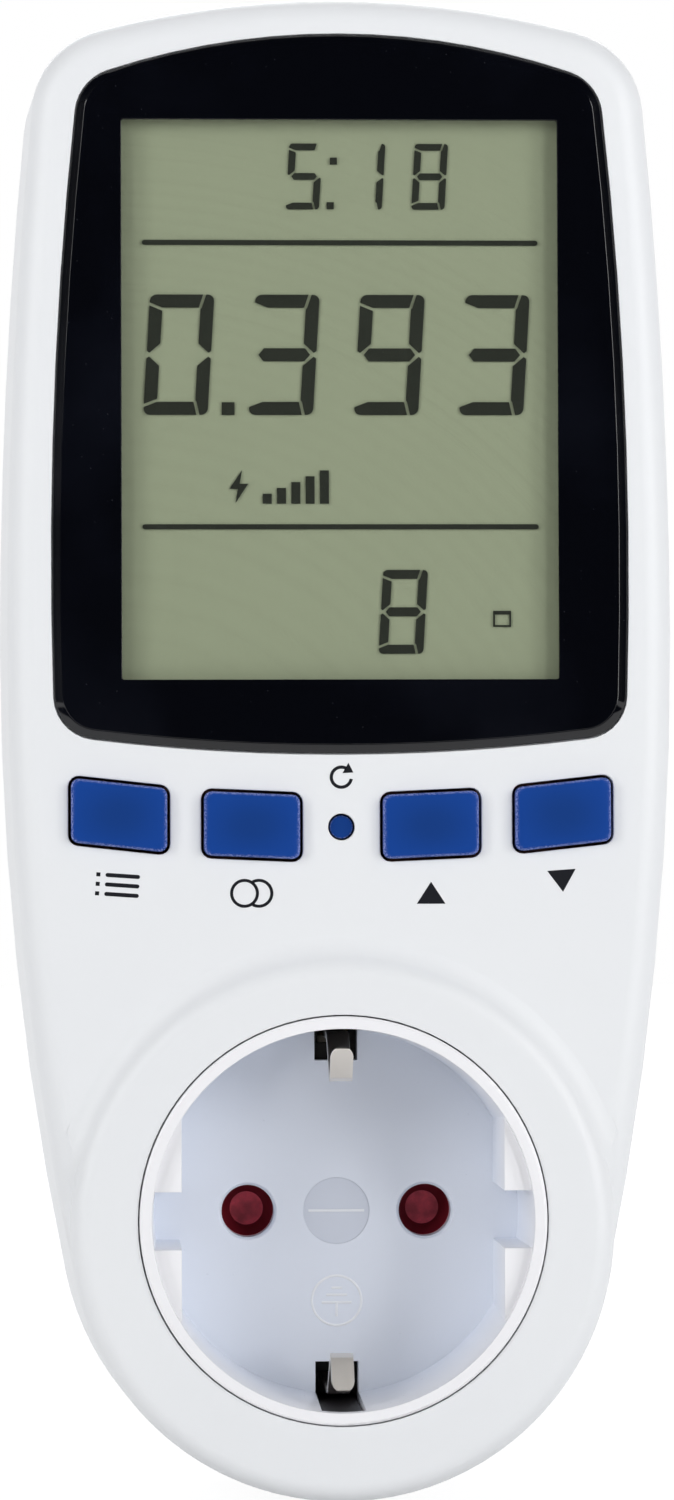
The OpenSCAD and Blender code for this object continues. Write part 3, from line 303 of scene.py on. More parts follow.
# Clear acrylic: mostly see-through, so light goes straight on to the display, with a hard clean gloss on top
def clearAcrylic(name, tint, alpha, roughness, hazeMm=18, hazeRough=0.04):
    material, tree, place = startMaterial(name)
    haze = addNode(tree, "ShaderNodeTexNoise", {"Vector": place, "Scale": perMetre(hazeMm), "Detail": 2.0})
    rough = addNode(tree, "ShaderNodeMapRange", {
        "Value": haze.outputs["Fac"], "To Min": roughness, "To Max": roughness + hazeRough})
    shader = addNode(tree, "ShaderNodeBsdfPrincipled", {
        "Base Color": linearColour(tint), "Roughness": rough.outputs["Result"], "IOR": 1.49, "Alpha": alpha})
    addNode(tree, "ShaderNodeOutputMaterial", {"Surface": shader.outputs["BSDF"]})
    return material


# Reflective liquid crystal cell: olive grey, brushed reflector behind the glass gives a very fine grain
def liquidCrystal(name, colour, shade, roughness=(0.55, 0.7), cloudMm=35, grainMm=0.25, grainDepth=0.002,
                  grainBump=0.2):
    material, tree, place = startMaterial(name)
    cloud = addNode(tree, "ShaderNodeTexNoise", {"Vector": place, "Scale": perMetre(cloudMm), "Detail": 2.0})
    grain = addNode(tree, "ShaderNodeTexNoise", {"Vector": place, "Scale": perMetre(grainMm), "Detail": 1.0})
    tone = addNode(tree, "ShaderNodeMix", {
        0: cloud.outputs["Fac"], colourA: linearColour(shade), colourB: linearColour(colour)},
        data_type="RGBA")
    rough = addNode(tree, "ShaderNodeMapRange", {
        "Value": grain.outputs["Fac"], "To Min": roughness[0], "To Max": roughness[1]})
    bump = addNode(tree, "ShaderNodeBump", {
        "Height": grain.outputs["Fac"], "Strength": grainBump, "Distance": grainDepth * mm})
    shader = addNode(tree, "ShaderNodeBsdfPrincipled", {
        "Base Color": tone.outputs[colourOut], "Roughness": rough.outputs["Result"], "IOR": 1.5,
        "Normal": bump.outputs["Normal"]})
    addNode(tree, "ShaderNodeOutputMaterial", {"Surface": shader.outputs["BSDF"]})
    return material


# Glass-fibre board under green solder mask: the weave shows through as a faint grid
def solderMask(name, colour, shade, roughness=0.32, weaveMm=0.6, weaveWander=0.4, weaveDepth=0.01,
               weaveBump=0.2):
    material, tree, place = startMaterial(name)
    warp, weft = [addNode(tree, "ShaderNodeTexWave", {
        "Vector": place, "Scale": perMetre(weaveMm) / math.tau, "Distortion": weaveWander},
        bands_direction=direction) for direction in "XZ"]
    weave = addNode(tree, "ShaderNodeMath", {0: warp.outputs["Fac"], 1: weft.outputs["Fac"]},
                    operation="MULTIPLY")
    tone = addNode(tree, "ShaderNodeMix", {
        0: weave.outputs[0], colourA: linearColour(shade), colourB: linearColour(colour)}, data_type="RGBA")
    bump = addNode(tree, "ShaderNodeBump", {
        "Height": weave.outputs[0], "Strength": weaveBump, "Distance": weaveDepth * mm})
    shader = addNode(tree, "ShaderNodeBsdfPrincipled", {
        "Base Color": tone.outputs[colourOut], "Roughness": roughness, "IOR": 1.55,
        "Normal": bump.outputs["Normal"]})
    addNode(tree, "ShaderNodeOutputMaterial", {"Surface": shader.outputs["BSDF"]})
    return material


finishes = {
    "whiteAbs": mouldedPlastic("ABS white, spark-eroded mould", "#ebedef", "#e8eaed", 0.46),
    "whitePc": mouldedPlastic("Polycarbonate white, polished mould", "#eceef2", "#e7eaef", 0.3, ior=1.58,
                              grainMm=0.5, grainDepth=0.002, softMm=0.12),
    # painted shade in the well and on its sunk disc
    "wellPc": wellShadedPolycarbonate("Polycarbonate white, well with painted shade", "#f4f4f7", "#e7ecf6", "#d7dce7"),
    # painted highlight: the raised lines are a lighter white than the floor they stand on
    "raisedPcHighlight": mouldedPlastic("Polycarbonate white, raised line painted lighter", "#f7f9fc", "#f3f5f9", 0.25, ior=1.58,
                               grainMm=0.5, grainDepth=0.002, softMm=0.05),
    "whiteHolder": mouldedPlastic("ABS white, plain inside moulding", "#dfe1e2", "#d3d6d8", 0.55),
    "blackAcrylic": glossAcrylic("Acrylic black, polished mould", "#06070c", "#0e1018", "#3c3e44"),
    "clearPane": clearAcrylic("Acrylic clear, polished window", "#10120e", 0.06, 0.03),
    "clearFilm": clearAcrylic("Polariser film, clear", "#2a3020", 0.04, 0.12),
    "lcdGlass": liquidCrystal("Liquid crystal cell, reflective", "#a9b394", "#a5af90"),
    "lcdInk": mouldedPlastic("Liquid crystal, driven segment", "#2f332b", "#2a2e26", 0.6, specular=0.15,
                             grainMm=0.6, softMm=0.02),
    "printInk": mouldedPlastic("Pad-printed ink, dark grey", "#15171f", "#0e1017", 0.6, specular=0.2,
                               grainMm=0.25, softMm=0.02),
    # painted shade in the middle of each key and a painted highlight in specks on its rim
    "keyRubber": rubberKey("Silicone rubber blue, matt mould", "#0a3f92", "#073880", "#8f9ad4"),
    "matRubber": mouldedPlastic("Silicone rubber pink, flat mat", "#c98f8d", "#bd817f", 0.6, ior=1.41),
    "carbonPill": mouldedPlastic("Carbon-filled silicone, pressed", "#1c1c1e", "#121214", 0.7),
    # painted light on the pit floors and painted shade on the steep pit walls
    "redPolyamide": shutterPolyamide("Polyamide red, moulded", "#ff5a72", "#6c0f1d"),
    "blackPolyamide": mouldedPlastic("Polyamide black, glass-filled", "#2a2627", "#1e1b1c", 0.5),
    "nickel": stampedMetal("Nickel-plated brass, stamped", "#f3eee6", "#e8e2d9", 0.32),
    "zincSteel": stampedMetal("Zinc-plated steel, cold-formed", "#c3c6c9", "#aeb2b6", 0.34),
    "springBrass": stampedMetal("Brass strip, stamped", "#d0b070", "#b9975a", 0.3),
    "shuntAlloy": stampedMetal("Manganin strip, cut", "#b58f6e", "#9c775a", 0.38),
    "boardGreen": solderMask("Glass-fibre board, green solder mask", "#1f6b43", "#185736"),
    "capacitorBox": mouldedPlastic("Film capacitor case, moulded yellow", "#d8b348", "#c9a23c", 0.42),
    "varistorDip": mouldedPlastic("Epoxy dip coat, blue", "#2c5aa0", "#244b8a", 0.35),
    "cellSleeve": mouldedPlastic("Shrink sleeve, green", "#4f8f4a", "#437f40", 0.3),
    "wireSheath": mouldedPlastic("PVC sheath, red", "#b22a2a", "#9d2222", 0.4),
}
print("stage: finishes made,", len(finishes))

slotFinish = {
    "housing_white": "whiteAbs", "insert_white": "whitePc", "holder_white": "whiteHolder",
    "bezel_black": "blackAcrylic", "clear_window": "clearPane", "lcd_glass": "lcdGlass",
    "key_blue": "keyRubber", "silicone_pink": "matRubber", "carbon": "carbonPill",
    "shutter_red": "redPolyamide", "carrier_black": "blackPolyamide", "brass": "springBrass",
    "nickel": "nickel", "zinc_steel": "zincSteel", "shunt_alloy": "shuntAlloy", "board_green": "boardGreen",
    "capacitor_yellow": "capacitorBox", "varistor_blue": "varistorDip", "cell_green": "cellSleeve",
    "wire_red": "wireSheath",
}
ownFinish = {"socket_insert": "wellPc", "socket_floor": "wellPc"}  # nodes that differ from their slot
for part in frame["record"]["subparts"]:
    node = nodes[part["node"]]
    node.data.materials.clear()
    node.data.materials.append(finishes[ownFinish.get(part["node"], slotFinish[part["material_slot"]])])


# One geometry group joins the facets of a CAD solid and smooths every edge flatter than the limit
def makeEdgeSmoother(limitDegrees):
    tree = bpy.data.node_groups.new("smoothEdges" + str(limitDegrees), "GeometryNodeTree")
    tree.interface.new_socket("Geometry", in_out="INPUT", socket_type="NodeSocketGeometry")
    tree.interface.new_socket("Geometry", in_out="OUTPUT", socket_type="NodeSocketGeometry")
    source = addNode(tree, "NodeGroupInput")
    plain = addNode(tree, "GeometryNodeRemoveAttribute", {
        "Geometry": source.outputs[0], "Name": "custom_normal"})
    joined = addNode(tree, "GeometryNodeMergeByDistance", {
        "Geometry": plain.outputs[0], "Distance": weldMm * mm})
    soft = addNode(tree, "GeometryNodeSetShadeSmooth", {"Geometry": joined.outputs[0], "Shade Smooth": True})
    angle = addNode(tree, "GeometryNodeInputMeshEdgeAngle")
    steep = addNode(tree, "FunctionNodeCompare", {0: angle.outputs[0], 1: math.radians(limitDegrees)},
                    operation="GREATER_THAN")
    crisp = addNode(tree, "GeometryNodeSetShadeSmooth", {
        "Geometry": soft.outputs[0], "Selection": steep.outputs[0], "Shade Smooth": False}, domain="EDGE")
    addNode(tree, "NodeGroupOutput", {0: crisp.outputs[0]})
    return tree


edgeSmoother = makeEdgeSmoother(edgeLimit)
for node in nodes.values():
    node.modifiers.new("smoothEdges", "NODES").node_group = edgeSmoother
    flatFaces = node.modifiers.new("flatFaces", "WEIGHTED_NORMAL")  # big faces stay flat beside a rounding
    flatFaces.keep_sharp = True
print("stage: CAD nodes dressed")


def meshPiece(name, mesh, finish):
    data = bpy.data.meshes.new(name)
    mesh.to_mesh(data)
    mesh.free()
    data.materials.append(finish)
    piece = bpy.data.objects.new(name, data)
    bpy.context.scene.collection.objects.link(piece)
    return piece


# Silicone mat: cut into the flat sheet that stays on the board and the thin web round each key
keypad = {
    "webRise": 1.1, "cutLift": 0.02,  # height of the webs over the sheet, and of the cut between them, in mm
    "cutSnap": 0.0001,  # a point this near the cut counts as on it
    "keys": {"key_function": "function_key", "key_cost": "cost_key", "key_reset": "reset_key",
             "key_up": "up_key", "key_down": "down_key"},
}
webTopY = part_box("keypad_mat")[0].y
cutY = webTopY + (keypad["webRise"] - keypad["cutLift"]) * mm


def cutMat(name, webCentre=None):
    mesh = bmesh.new()
    mesh.from_mesh(nodes["keypad_mat"].data)
    bmesh.ops.remove_doubles(mesh, verts=mesh.verts, dist=weldMm * mm)
    bmesh.ops.bisect_plane(mesh, geom=mesh.verts[:] + mesh.edges[:] + mesh.faces[:],
                           dist=keypad["cutSnap"] * mm, plane_co=(0, cutY, 0), plane_no=(0, -1, 0),
                           clear_outer=webCentre is None, clear_inner=webCentre is not None)
    if webCentre:
        fresh = [min(mesh.verts, key=lambda vert: (vert.co - webCentre).length)]
        island = set(fresh)
        while fresh:  # walk along the edges of the one web that stands round this key
            near = {edge.other_vert(vert) for vert in fresh for edge in vert.link_edges}
            fresh = list(near - island)
            island |= near
        others = [vert for vert in mesh.verts if vert not in island]
        bmesh.ops.delete(mesh, geom=others, context="VERTS")
    openEdges = [edge for edge in mesh.edges if edge.is_boundary]
    bmesh.ops.triangle_fill(mesh, use_beauty=True, edges=openEdges)
    bmesh.ops.recalc_face_normals(mesh, faces=mesh.faces)
    piece = meshPiece(name, mesh, finishes["matRubber"])
    return piece


matSheet = cutMat("keypad_sheet")
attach(matSheet, "housing")
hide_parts("keypad_mat")
for keyNode, keyBody in keypad["keys"].items():
    keyLow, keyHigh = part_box(keyNode)
    web = cutMat("web_" + keyBody, (keyLow + keyHigh) / 2)
    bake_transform(web)
print("stage: keypad mat cut into a sheet and", len(keypad["keys"]), "folding webs")


# Flat printed or driven shapes: outlines in (x, z) mm become thin plates that stand on the height y
def makePlates(name, outlines, y, thickMm, finish, bodyName):
    mesh = bmesh.new()
    for outline in outlines:
        front = [mesh.verts.new((x * mm, y - thickMm * mm, z * mm)) for x, z in outline]
        back = [mesh.verts.new((x * mm, y, z * mm)) for x, z in outline]
        mesh.faces.new(front)
        mesh.faces.new(back[::-1])
        for i in range(len(outline)):
            j = (i + 1) % len(outline)
            mesh.faces.new((front[j], front[i], back[i], back[j]))
    bmesh.ops.remove_doubles(mesh, verts=mesh.verts, dist=growMm * mm)
    inside = [face for face in mesh.faces if all(len(edge.link_faces) > 2 for edge in face.edges)]
    bmesh.ops.delete(mesh, geom=inside, context="FACES_ONLY")
    bmesh.ops.recalc_face_normals(mesh, faces=mesh.faces)
    piece = meshPiece(name, mesh, finishes[finish])
    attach(piece, bodyName)


def arcPoints(centre, radius, start, end, steps):
    angles = [math.radians(start + (end - start) * i / steps) for i in range(steps + 1)]
    return [(centre[0] + radius * math.cos(angle), centre[1] + radius * math.sin(angle)) for angle in angles]


# Seven-segment outlines: the bars carry the left corners, the right columns the right corners
def segmentOutlines(width, height, stroke, gap, cornerSteps=4):
    mid = height / 2
    corner = stroke * 0.5
    cut, lean = stroke * 0.85, stroke * 0.28  # place and slope of the cut between a bar and a right column
    leftCut = height - stroke * 0.6  # where a bar ends on the left edge
    waistIn, waistOut = mid + stroke * 0.85, mid + stroke * 0.3  # where a column narrows to its tip
    tipX, tipZ = stroke * 0.2, mid + gap * 0.6
    barTip, barShoulder = stroke * 0.25 + gap, stroke * 0.65 + gap  # ends of the middle bar
    top = ([(0, leftCut)] + arcPoints((corner, height - corner), corner, 180, 90, cornerSteps)
           + [(width - cut, height), (width - cut - lean, height - stroke), (stroke, height - stroke)])
    rightTop = ([(width - cut + gap, height)]
                + arcPoints((width - corner, height - corner), corner, 90, 0, cornerSteps)
                + [(width, waistOut), (width - tipX, tipZ), (width - stroke, waistIn),
                   (width - stroke, height - stroke - gap / 2), (width - cut - lean + gap, height - stroke)])
    leftTop = [(0, leftCut - gap), (stroke, height - stroke - gap), (stroke, waistIn), (tipX, tipZ),
               (0, waistOut)]
    middle = [(barTip, mid), (barShoulder, mid + stroke / 2), (width - barShoulder, mid + stroke / 2),
              (width - barTip, mid), (width - barShoulder, mid - stroke / 2), (barShoulder, mid - stroke / 2)]

    def flipped(outline):
        return [(x, height - z) for x, z in reversed(outline)]

    return {"a": top, "b": rightTop, "c": flipped(rightTop), "d": flipped(top), "e": flipped(leftTop),
            "f": leftTop, "g": middle}


def square(centre, size):
    x, z = centre
    half = size / 2
    return [(x - half, z - half), (x + half, z - half), (x + half, z + half), (x - half, z + half)]


def roundBar(left, right, z, thick, steps=6):
    end = thick / 2
    return arcPoints((left + end, z), end, 90, 270, steps) + arcPoints((right - end, z), end, -90, 90, steps)


def frameSlices(centre, size, stroke):
    x, z = centre
    w, h = size[0] / 2, size[1] / 2
    outer = [(x - w, z - h), (x + w, z - h), (x + w, z + h), (x - w, z + h)]
    inner = [(x - w + stroke, z - h + stroke), (x + w - stroke, z - h + stroke),
             (x + w - stroke, z + h - 2 * stroke), (x - w + stroke, z + h - 2 * stroke)]
    return [[outer[i], outer[j], inner[j], inner[i]] for i, j in ((0, 1), (1, 2), (2, 3), (3, 0))]


litSegments = {"0": "abcdef", "1": "bc", "3": "abcdg", "5": "acdfg", "8": "abcdefg", "9": "abcdfg"}
display = {
    "slantDegrees": 3.4, "segmentGap": 0.32,
    "rows": [  # digits, left edge, pitch, low edge, (width, height, stroke), share of the gap
        ("518", -5.6, 6.6, 105.75, (3.5, 6.95, 0.72), 0.7),
        ("0393", -20.6, 11.05, 84.12, (6.75, 12.65, 1.38), 1.0),
        ("8", 4.0, 0.0, 59.05, (4.7, 8.8, 0.95), 0.85),
    ],
    "colon": [(-0.57, 110.85), (-0.92, 106.15)], "colonSize": 0.75,
    "point": (-11.7, 84.78), "pointSize": 1.35,
    "rules": [102.25, 72.38], "ruleEnds": (-20.7, 20.9), "ruleThick": 0.54,
    "boltAt": (-10.6, 76.6),
    "bolt": [(0.35, 1.75), (-1.0, -0.25), (-0.1, -0.25), (-0.35, -1.75), (1.0, 0.3), (0.1, 0.3)],
    "barsAt": (-8.1, 74.8), "barWidth": 0.95, "barPitch": 1.5, "barCount": 5, "barRise": (1.05, 3.5),
    "calendarAt": (17.0, 62.7), "calendarSize": (1.9, 1.7), "calendarStroke": 0.2,
    "inkThick": 0.02, "filmThick": 0.15, "filmGap": 0.01, "filmInset": 0.9,
}
slant = math.tan(math.radians(display["slantDegrees"]))
lcdShapes = []
for digits, left, pitch, low, size, gapShare in display["rows"]:
    outlines = segmentOutlines(*size, display["segmentGap"] * gapShare)
    for index, digit in enumerate(digits):
        for letter in litSegments[digit]:
            lcdShapes.append([(left + pitch * index + x + z * slant, low + z) for x, z in outlines[letter]])
lcdShapes += [square(at, display["colonSize"]) for at in display["colon"]]
lcdShapes.append(square(display["point"], display["pointSize"]))
lcdShapes += [roundBar(*display["ruleEnds"], z, display["ruleThick"]) for z in display["rules"]]
lcdShapes.append([(display["boltAt"][0] + x, display["boltAt"][1] + z) for x, z in display["bolt"]])
for i in range(display["barCount"]):
    x, z = display["barsAt"][0] + i * display["barPitch"], display["barsAt"][1]
    lowest, highest = display["barRise"]
    rise = lowest + (highest - lowest) * i / (display["barCount"] - 1)
    barRight = x + display["barWidth"]
    lcdShapes.append([(x, z), (barRight, z), (barRight, z + rise), (x, z + rise)])
lcdShapes += frameSlices(display["calendarAt"], display["calendarSize"], display["calendarStroke"])
makePlates("lcd_segments", lcdShapes, lcdY - display["filmThick"] * mm, display["inkThick"], "lcdInk",
           "housing")

# A clear film on the cell holds the segments off the reflector, so they drop a soft shadow
paneLow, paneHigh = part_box("display_window")
inset = Vector((display["filmInset"], 0, display["filmInset"]))
filmLow, filmHigh = paneLow / mm + inset, paneHigh / mm - inset
filmOutline = [(filmLow.x, filmLow.z), (filmHigh.x, filmLow.z), (filmHigh.x, filmHigh.z),
               (filmLow.x, filmHigh.z)]
makePlates("lcd_film", [filmOutline], lcdY, display["filmThick"] - display["filmGap"], "clearFilm",
           "housing")
print("stage: display drawn,", len(lcdShapes), "shapes")

# Plain key symbols in dark ink: list, coins, arrows and a turn-back arrow
symbols = {
    "inkThick": 0.02,
    "listAt": (-23.4, 34.9), "listSize": (4.6, 2.4), "listBar": 0.42, "listTilt": -4.0,
    "listDotInset": 0.25, "listBarInset": 1.0,
    "coinAt": (-9.4, 34.0), "coinRadius": 1.35, "coinStroke": 0.32, "coinShift": 1.5,
    "coinArcs": [(0, 360, 40), (-118, 118, 30)],  # start, end and steps of the whole coin and the one behind
    "upAt": (9.35, 34.0), "downAt": (23.1, 35.2), "arrowSize": (3.0, 2.3), "downTilt": 4.0,
    "turnAt": (0.0, 46.1), "turnRadius": 1.05, "turnStroke": 0.34, "turnArc": (60, 350, 30),
    "turnHead": [(-0.1, 0.62), (-0.1, -0.62), (0.85, 0)], "turnHeadTilt": -30,
}


def ringSlices(centre, radius, stroke, start, end, steps):
    inner = arcPoints(centre, radius - stroke / 2, start, end, steps)
    outer = arcPoints(centre, radius + stroke / 2, start, end, steps)
    return [[inner[i], outer[i], outer[i + 1], inner[i + 1]] for i in range(steps)]


def turned(outline, centre, degrees):
    c, s = math.cos(math.radians(degrees)), math.sin(math.radians(degrees))
    return [(centre[0] + (x - centre[0]) * c - (z - centre[1]) * s,
             centre[1] + (x - centre[0]) * s + (z - centre[1]) * c) for x, z in outline]


inkShapes = []
listX, listZ = symbols["listAt"]
listWidth, listHeight = symbols["listSize"]
listLeft, listRight = listX - listWidth / 2, listX + listWidth / 2
for step in (-1, 0, 1):
    z = listZ + step * (listHeight - symbols["listBar"]) / 2
    bar = roundBar(listLeft + symbols["listBarInset"], listRight, z, symbols["listBar"])
    dot = square((listLeft + symbols["listDotInset"], z), symbols["listBar"])
    inkShapes += [turned(shape, symbols["listAt"], symbols["listTilt"]) for shape in (bar, dot)]
coinX, coinZ = symbols["coinAt"]
for side, arc in zip((-1, 1), symbols["coinArcs"]):
    coinCentre = (coinX + side * symbols["coinShift"] / 2, coinZ)
    inkShapes += ringSlices(coinCentre, symbols["coinRadius"], symbols["coinStroke"], *arc)
for at, sign, tilt in ((symbols["upAt"], 1, 0), (symbols["downAt"], -1, symbols["downTilt"])):
    w, h = symbols["arrowSize"][0] / 2, sign * symbols["arrowSize"][1] / 2
    arrow = [(at[0] - w, at[1] - h), (at[0] + w, at[1] - h), (at[0], at[1] + h)]
    inkShapes.append(turned(arrow[::sign], at, tilt))
turnAt, turnRadius = symbols["turnAt"], symbols["turnRadius"]
inkShapes += ringSlices(turnAt, turnRadius, symbols["turnStroke"], *symbols["turnArc"])
tip = arcPoints(turnAt, turnRadius, *symbols["turnArc"])[0]
turnHead = [(tip[0] + x, tip[1] + z) for x, z in symbols["turnHead"]]
inkShapes.append(turned(turnHead, tip, symbols["turnHeadTilt"]))
makePlates("key_symbols", inkShapes, faceY, symbols["inkThick"], "printInk", "housing")
print("stage: key symbols printed,", len(inkShapes), "shapes")

# Raised lines moulded on the well floor: a bar on the sunk disc, and the earth sign in a ring
floorMarks = {
    "lineRadius": 0.17, "sunk": 0.08, "discDepth": 0.15, "barHalf": 3.0,
    "earthAt": (0.0, -9.6), "earthRadius": 2.65, "earthSteps": 56, "earthStem": (-1.7, -0.2),
    "earthBars": [(1.6, -0.2), (1.1, 0.6), (0.55, 1.35)],  # half length, height over the middle of the ring
}


def raisedLines(name, strokes, y, radiusMm, finish, bodyName):
    curve = bpy.data.curves.new(name, "CURVE")
    curve.dimensions = "3D"
    curve.bevel_depth = radiusMm * mm
    curve.bevel_resolution = 2
    curve.use_fill_caps = True
    for stroke, depth, closed in strokes:
        spline = curve.splines.new("POLY")
        spline.points.add(len(stroke) - 1)
        spline.use_cyclic_u = closed
        for point, (x, z) in zip(spline.points, stroke):
            point.co = (x * mm, y + depth * mm, z * mm, 1)
    curve.materials.append(finishes[finish])
    piece = bpy.data.objects.new(name, curve)
    bpy.context.scene.collection.objects.link(piece)
    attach(piece, bodyName)


earthX, earthZ = floorMarks["earthAt"]
earthRing = arcPoints(floorMarks["earthAt"], floorMarks["earthRadius"], 0, 360, floorMarks["earthSteps"])[:-1]
sunk = floorMarks["sunk"]
markLines = [  # points, depth under the floor, closed
    ([(-floorMarks["barHalf"], 0), (floorMarks["barHalf"], 0)], floorMarks["discDepth"] + sunk, False),
    (earthRing, sunk, True),
    ([(earthX, earthZ + z) for z in floorMarks["earthStem"]], sunk, False),
]
for half, z in floorMarks["earthBars"]:
    markLines.append(([(earthX - half, earthZ + z), (earthX + half, earthZ + z)], sunk, False))
# the lines carry a painted highlight, a whiter finish than the floor
raisedLines("floor_marks", markLines, wellFloorY, floorMarks["lineRadius"], "raisedPcHighlight",
            "housing")
print("stage: well floor marked")

# Camera fitted to the outline, the display and the socket of the photograph
view = {
    "target": (-0.442, -58.0, 48.94), "place": (-24.741, -589.421, 33.755), "rollDegrees": -0.192,
    "lensMm": 122.24, "sensorMm": 36.0, "clip": (0.01, 50),
}
cameraData = bpy.data.cameras.new("camera")
cameraData.sensor_fit = "VERTICAL"
cameraData.sensor_height = view["sensorMm"]
cameraData.lens = view["lensMm"]
cameraData.clip_start, cameraData.clip_end = view["clip"]
camera = bpy.data.objects.new("camera", cameraData)
bpy.context.scene.collection.objects.link(camera)
ahead = (Vector(view["target"]) - Vector(view["place"])).normalized()
right = ahead.cross(Vector((0, 0, 1))).normalized()
upward = right.cross(ahead)
roll = math.radians(view["rollDegrees"])
rightRolled = right * math.cos(roll) + upward * math.sin(roll)
upRolled = upward * math.cos(roll) - right * math.sin(roll)
turn = Matrix((rightRolled, upRolled, -ahead)).transposed().to_4x4()
camera.matrix_world = Matrix.Translation(Vector(view["place"]) * mm) @ turn
bpy.context.scene.camera = camera

studio = {
    "aim": (0, -0.05, 0.05), "worldLevel": 0.25, "worldTint": "#fdfdff", "white": "#ffffff",
    "lamps": [  # name, degrees round from the front, degrees up, distance, width, height in metres, watts
        ("stripLeft", -58, 8, 1.0, 0.25, 0.8, 3.9),
        ("stripRight", 58, 8, 1.0, 0.25, 0.8, 3.8),
        ("stripFrontLeft", -38, 24, 1.0, 0.2, 0.5, 1.6),
        ("stripFrontRight", 38, 8, 1.0, 0.2, 0.6, 2.9),
        ("softboxBack", 180, 38, 1.0, 0.8, 0.6, 5.5),
    ],
    "floorDrop": 0.1, "floorSize": 6.0, "floorGlow": 0.05, "fibreMm": 3,
    "paperTone": "#e7e7e7", "shadedTone": "#6f6f71",  # paper as light bounces off it, and as the eye sees it
    "shadowLevel": 0.92, "shadowReach": (0.1, 0.45),
    "flags": [  # black cloth seen only in gloss: name, degrees round, degrees up, distance, width, height
        ("flagFront", -2, 18.5, 0.85, 1.9, 0.67),
        ("flagTop", 0, 56.5, 0.8, 1.1, 0.535),
        ("flagTopLeft", -55, 45, 0.8, 0.6, 0.5),
        ("flagTopRight", 55, 45, 0.8, 0.6, 0.5),
        ("flagLeft", -62, 4, 0.8, 0.45, 1.0),
        ("flagRight", 62, 4, 0.8, 0.45, 1.0),
    ],
    "flagFloor": (0.7, 0.33, -0.335),  # width, depth and place along Y of the cloth that lies on the floor
    "clothTone": "#0d0d0f", "clothMm": 2,
}


def standOff(around, up, distance):
    aim = Vector(studio["aim"])
    turnRound, lift = math.radians(around), math.radians(up)
    side, front = math.cos(lift) * math.sin(turnRound), -math.cos(lift) * math.cos(turnRound)
    place = aim + distance * Vector((side, front, math.sin(lift)))
    return Matrix.Translation(place) @ (aim - place).to_track_quat("-Z", "Y").to_matrix().to_4x4()


def panel(name, width, depth, matrix, finish):
    mesh = bmesh.new()
    bmesh.ops.create_grid(mesh, x_segments=1, y_segments=1, size=0.5)
    bmesh.ops.scale(mesh, vec=(width, depth, 1), verts=mesh.verts)
    piece = meshPiece(name, mesh, finish)
    piece.matrix_world = matrix
    return piece


# 1 for the eye, for gloss and for glass, which see a white studio, and 0 for the light that falls on things
def seenDirectly(tree):
    rays = addNode(tree, "ShaderNodeLightPath")
    seen = rays.outputs["Is Camera Ray"]
    for ray in ("Is Glossy Ray", "Is Transmission Ray"):
        either = addNode(tree, "ShaderNodeMath", {0: seen, 1: rays.outputs[ray]}, operation="MAXIMUM")
        seen = either.outputs[0]
    return seen


for name, around, up, distance, width, height, watts in studio["lamps"]:
    lamp = bpy.data.lights.new(name, "AREA")
    lamp.shape = "RECTANGLE"
    lamp.size, lamp.size_y = width, height
    lamp.energy = watts
    holder = bpy.data.objects.new(name, lamp)
    holder.matrix_world = standOff(around, up, distance)
    bpy.context.scene.collection.objects.link(holder)

white = linearColour(studio["white"])
world = bpy.data.worlds.new("studio")
bpy.context.scene.world = world
world.use_nodes = True
tree = world.node_tree
tree.nodes.clear()
fill = addNode(tree, "ShaderNodeBackground", {
    "Color": linearColour(studio["worldTint"]), "Strength": studio["worldLevel"]})
backdrop = addNode(tree, "ShaderNodeBackground", {"Color": white, "Strength": 1.0})
sky = addNode(tree, "ShaderNodeMixShader", {
    0: seenDirectly(tree), 1: fill.outputs[0], 2: backdrop.outputs[0]})
addNode(tree, "ShaderNodeOutputWorld", {"Surface": sky.outputs[0]})
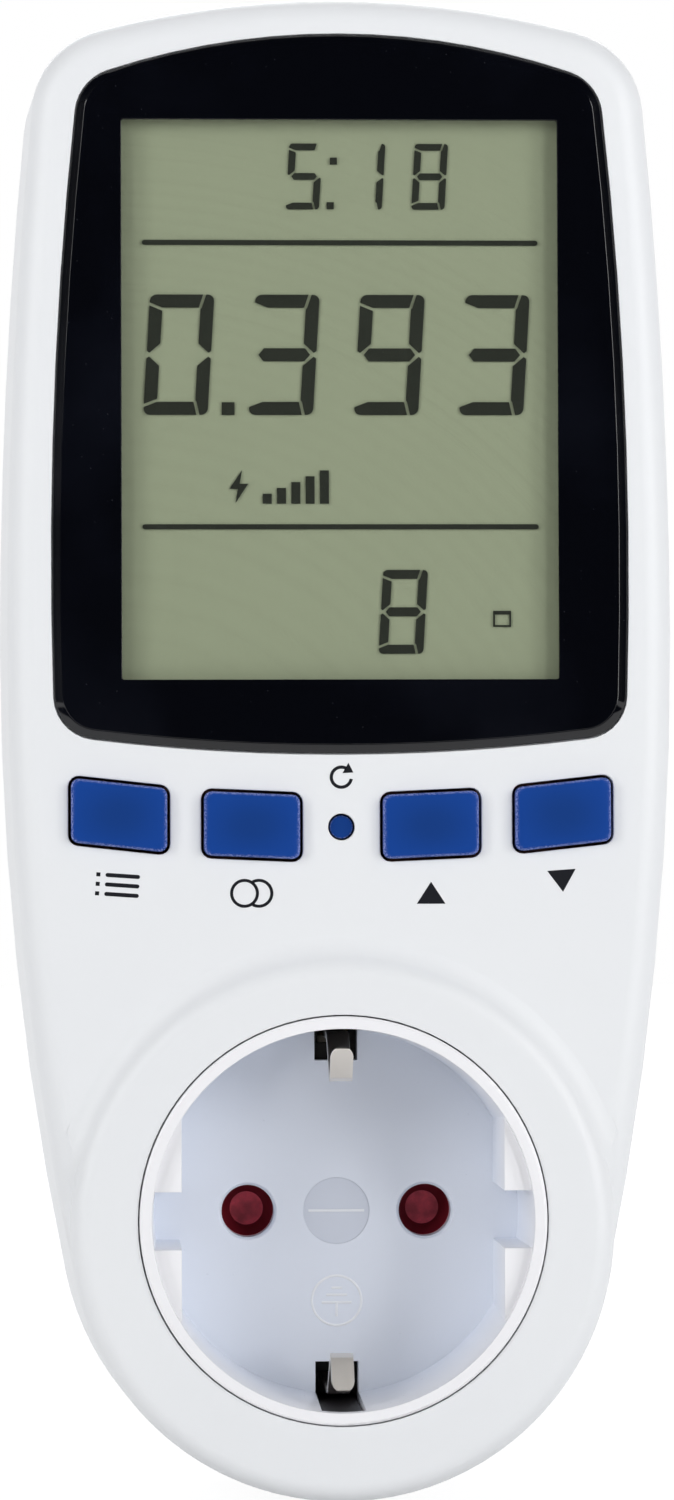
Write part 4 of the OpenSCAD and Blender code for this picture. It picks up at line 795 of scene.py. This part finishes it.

# Paper floor: white to the eye with a soft shadow round the object, partly cast and partly painted, and a
# dull bounce under it
floorPaper, tree, place = startMaterial("Paper sweep, white")
fibre = addNode(tree, "ShaderNodeTexNoise", {
    "Vector": place, "Scale": perMetre(studio["fibreMm"]), "Detail": 2.0})
paper = addNode(tree, "ShaderNodeBsdfDiffuse", {
    "Color": linearColour(studio["paperTone"]), "Roughness": fibre.outputs["Fac"]})
bounce = addNode(tree, "ShaderNodeEmission", {"Color": white, "Strength": studio["floorGlow"]})
under = addNode(tree, "ShaderNodeAddShader", {0: paper.outputs[0], 1: bounce.outputs[0]})
shaded = addNode(tree, "ShaderNodeBsdfDiffuse", {"Color": linearColour(studio["shadedTone"])})
away = addNode(tree, "ShaderNodeVectorMath", {0: place}, operation="LENGTH")
shadowNear, shadowFar = studio["shadowReach"]
# painted shadow: the glow the eye sees is dimmed near the object, whatever the lamps do
shadowDimmedGlow = addNode(tree, "ShaderNodeMapRange", {
    "Value": away.outputs["Value"], "From Min": shadowNear, "From Max": shadowFar,
    "To Min": studio["shadowLevel"], "To Max": 1.0})
glow = addNode(tree, "ShaderNodeEmission", {"Color": white, "Strength": shadowDimmedGlow.outputs["Result"]})
lit = addNode(tree, "ShaderNodeAddShader", {0: shaded.outputs[0], 1: glow.outputs[0]})
mixed = addNode(tree, "ShaderNodeMixShader", {0: seenDirectly(tree), 1: under.outputs[0], 2: lit.outputs[0]})
addNode(tree, "ShaderNodeOutputMaterial", {"Surface": mixed.outputs[0]})
floorPlace = Matrix.Translation((0, 0, cadBounds[0][2] - studio["floorDrop"] * mm))
panel("floor", studio["floorSize"], studio["floorSize"], floorPlace, floorPaper)

# Black flags round the front are seen only in reflections, so the gloss stays dark as in the photograph
flagCloth, tree, place = startMaterial("Black flag cloth")
weave = addNode(tree, "ShaderNodeTexNoise", {"Vector": place, "Scale": perMetre(studio["clothMm"])})
cloth = addNode(tree, "ShaderNodeBsdfDiffuse", {
    "Color": linearColour(studio["clothTone"]), "Roughness": weave.outputs["Fac"]})
addNode(tree, "ShaderNodeOutputMaterial", {"Surface": cloth.outputs[0]})
flagWidth, flagDepth, flagY = studio["flagFloor"]
flags = [panel("flagFloor", flagWidth, flagDepth, floorPlace @ Matrix.Translation((0, flagY, mm)), flagCloth)]
for name, around, up, distance, width, height in studio["flags"]:
    flags.append(panel(name, width, height, standOff(around, up, distance), flagCloth))
for flag in flags:
    flag.visible_camera = False
    flag.visible_diffuse = False
    flag.visible_shadow = False
    flag.visible_transmission = False
print("stage: camera, lamps and floor set")

bpy.context.scene.view_settings.view_transform = "Standard"
print("stage: done")
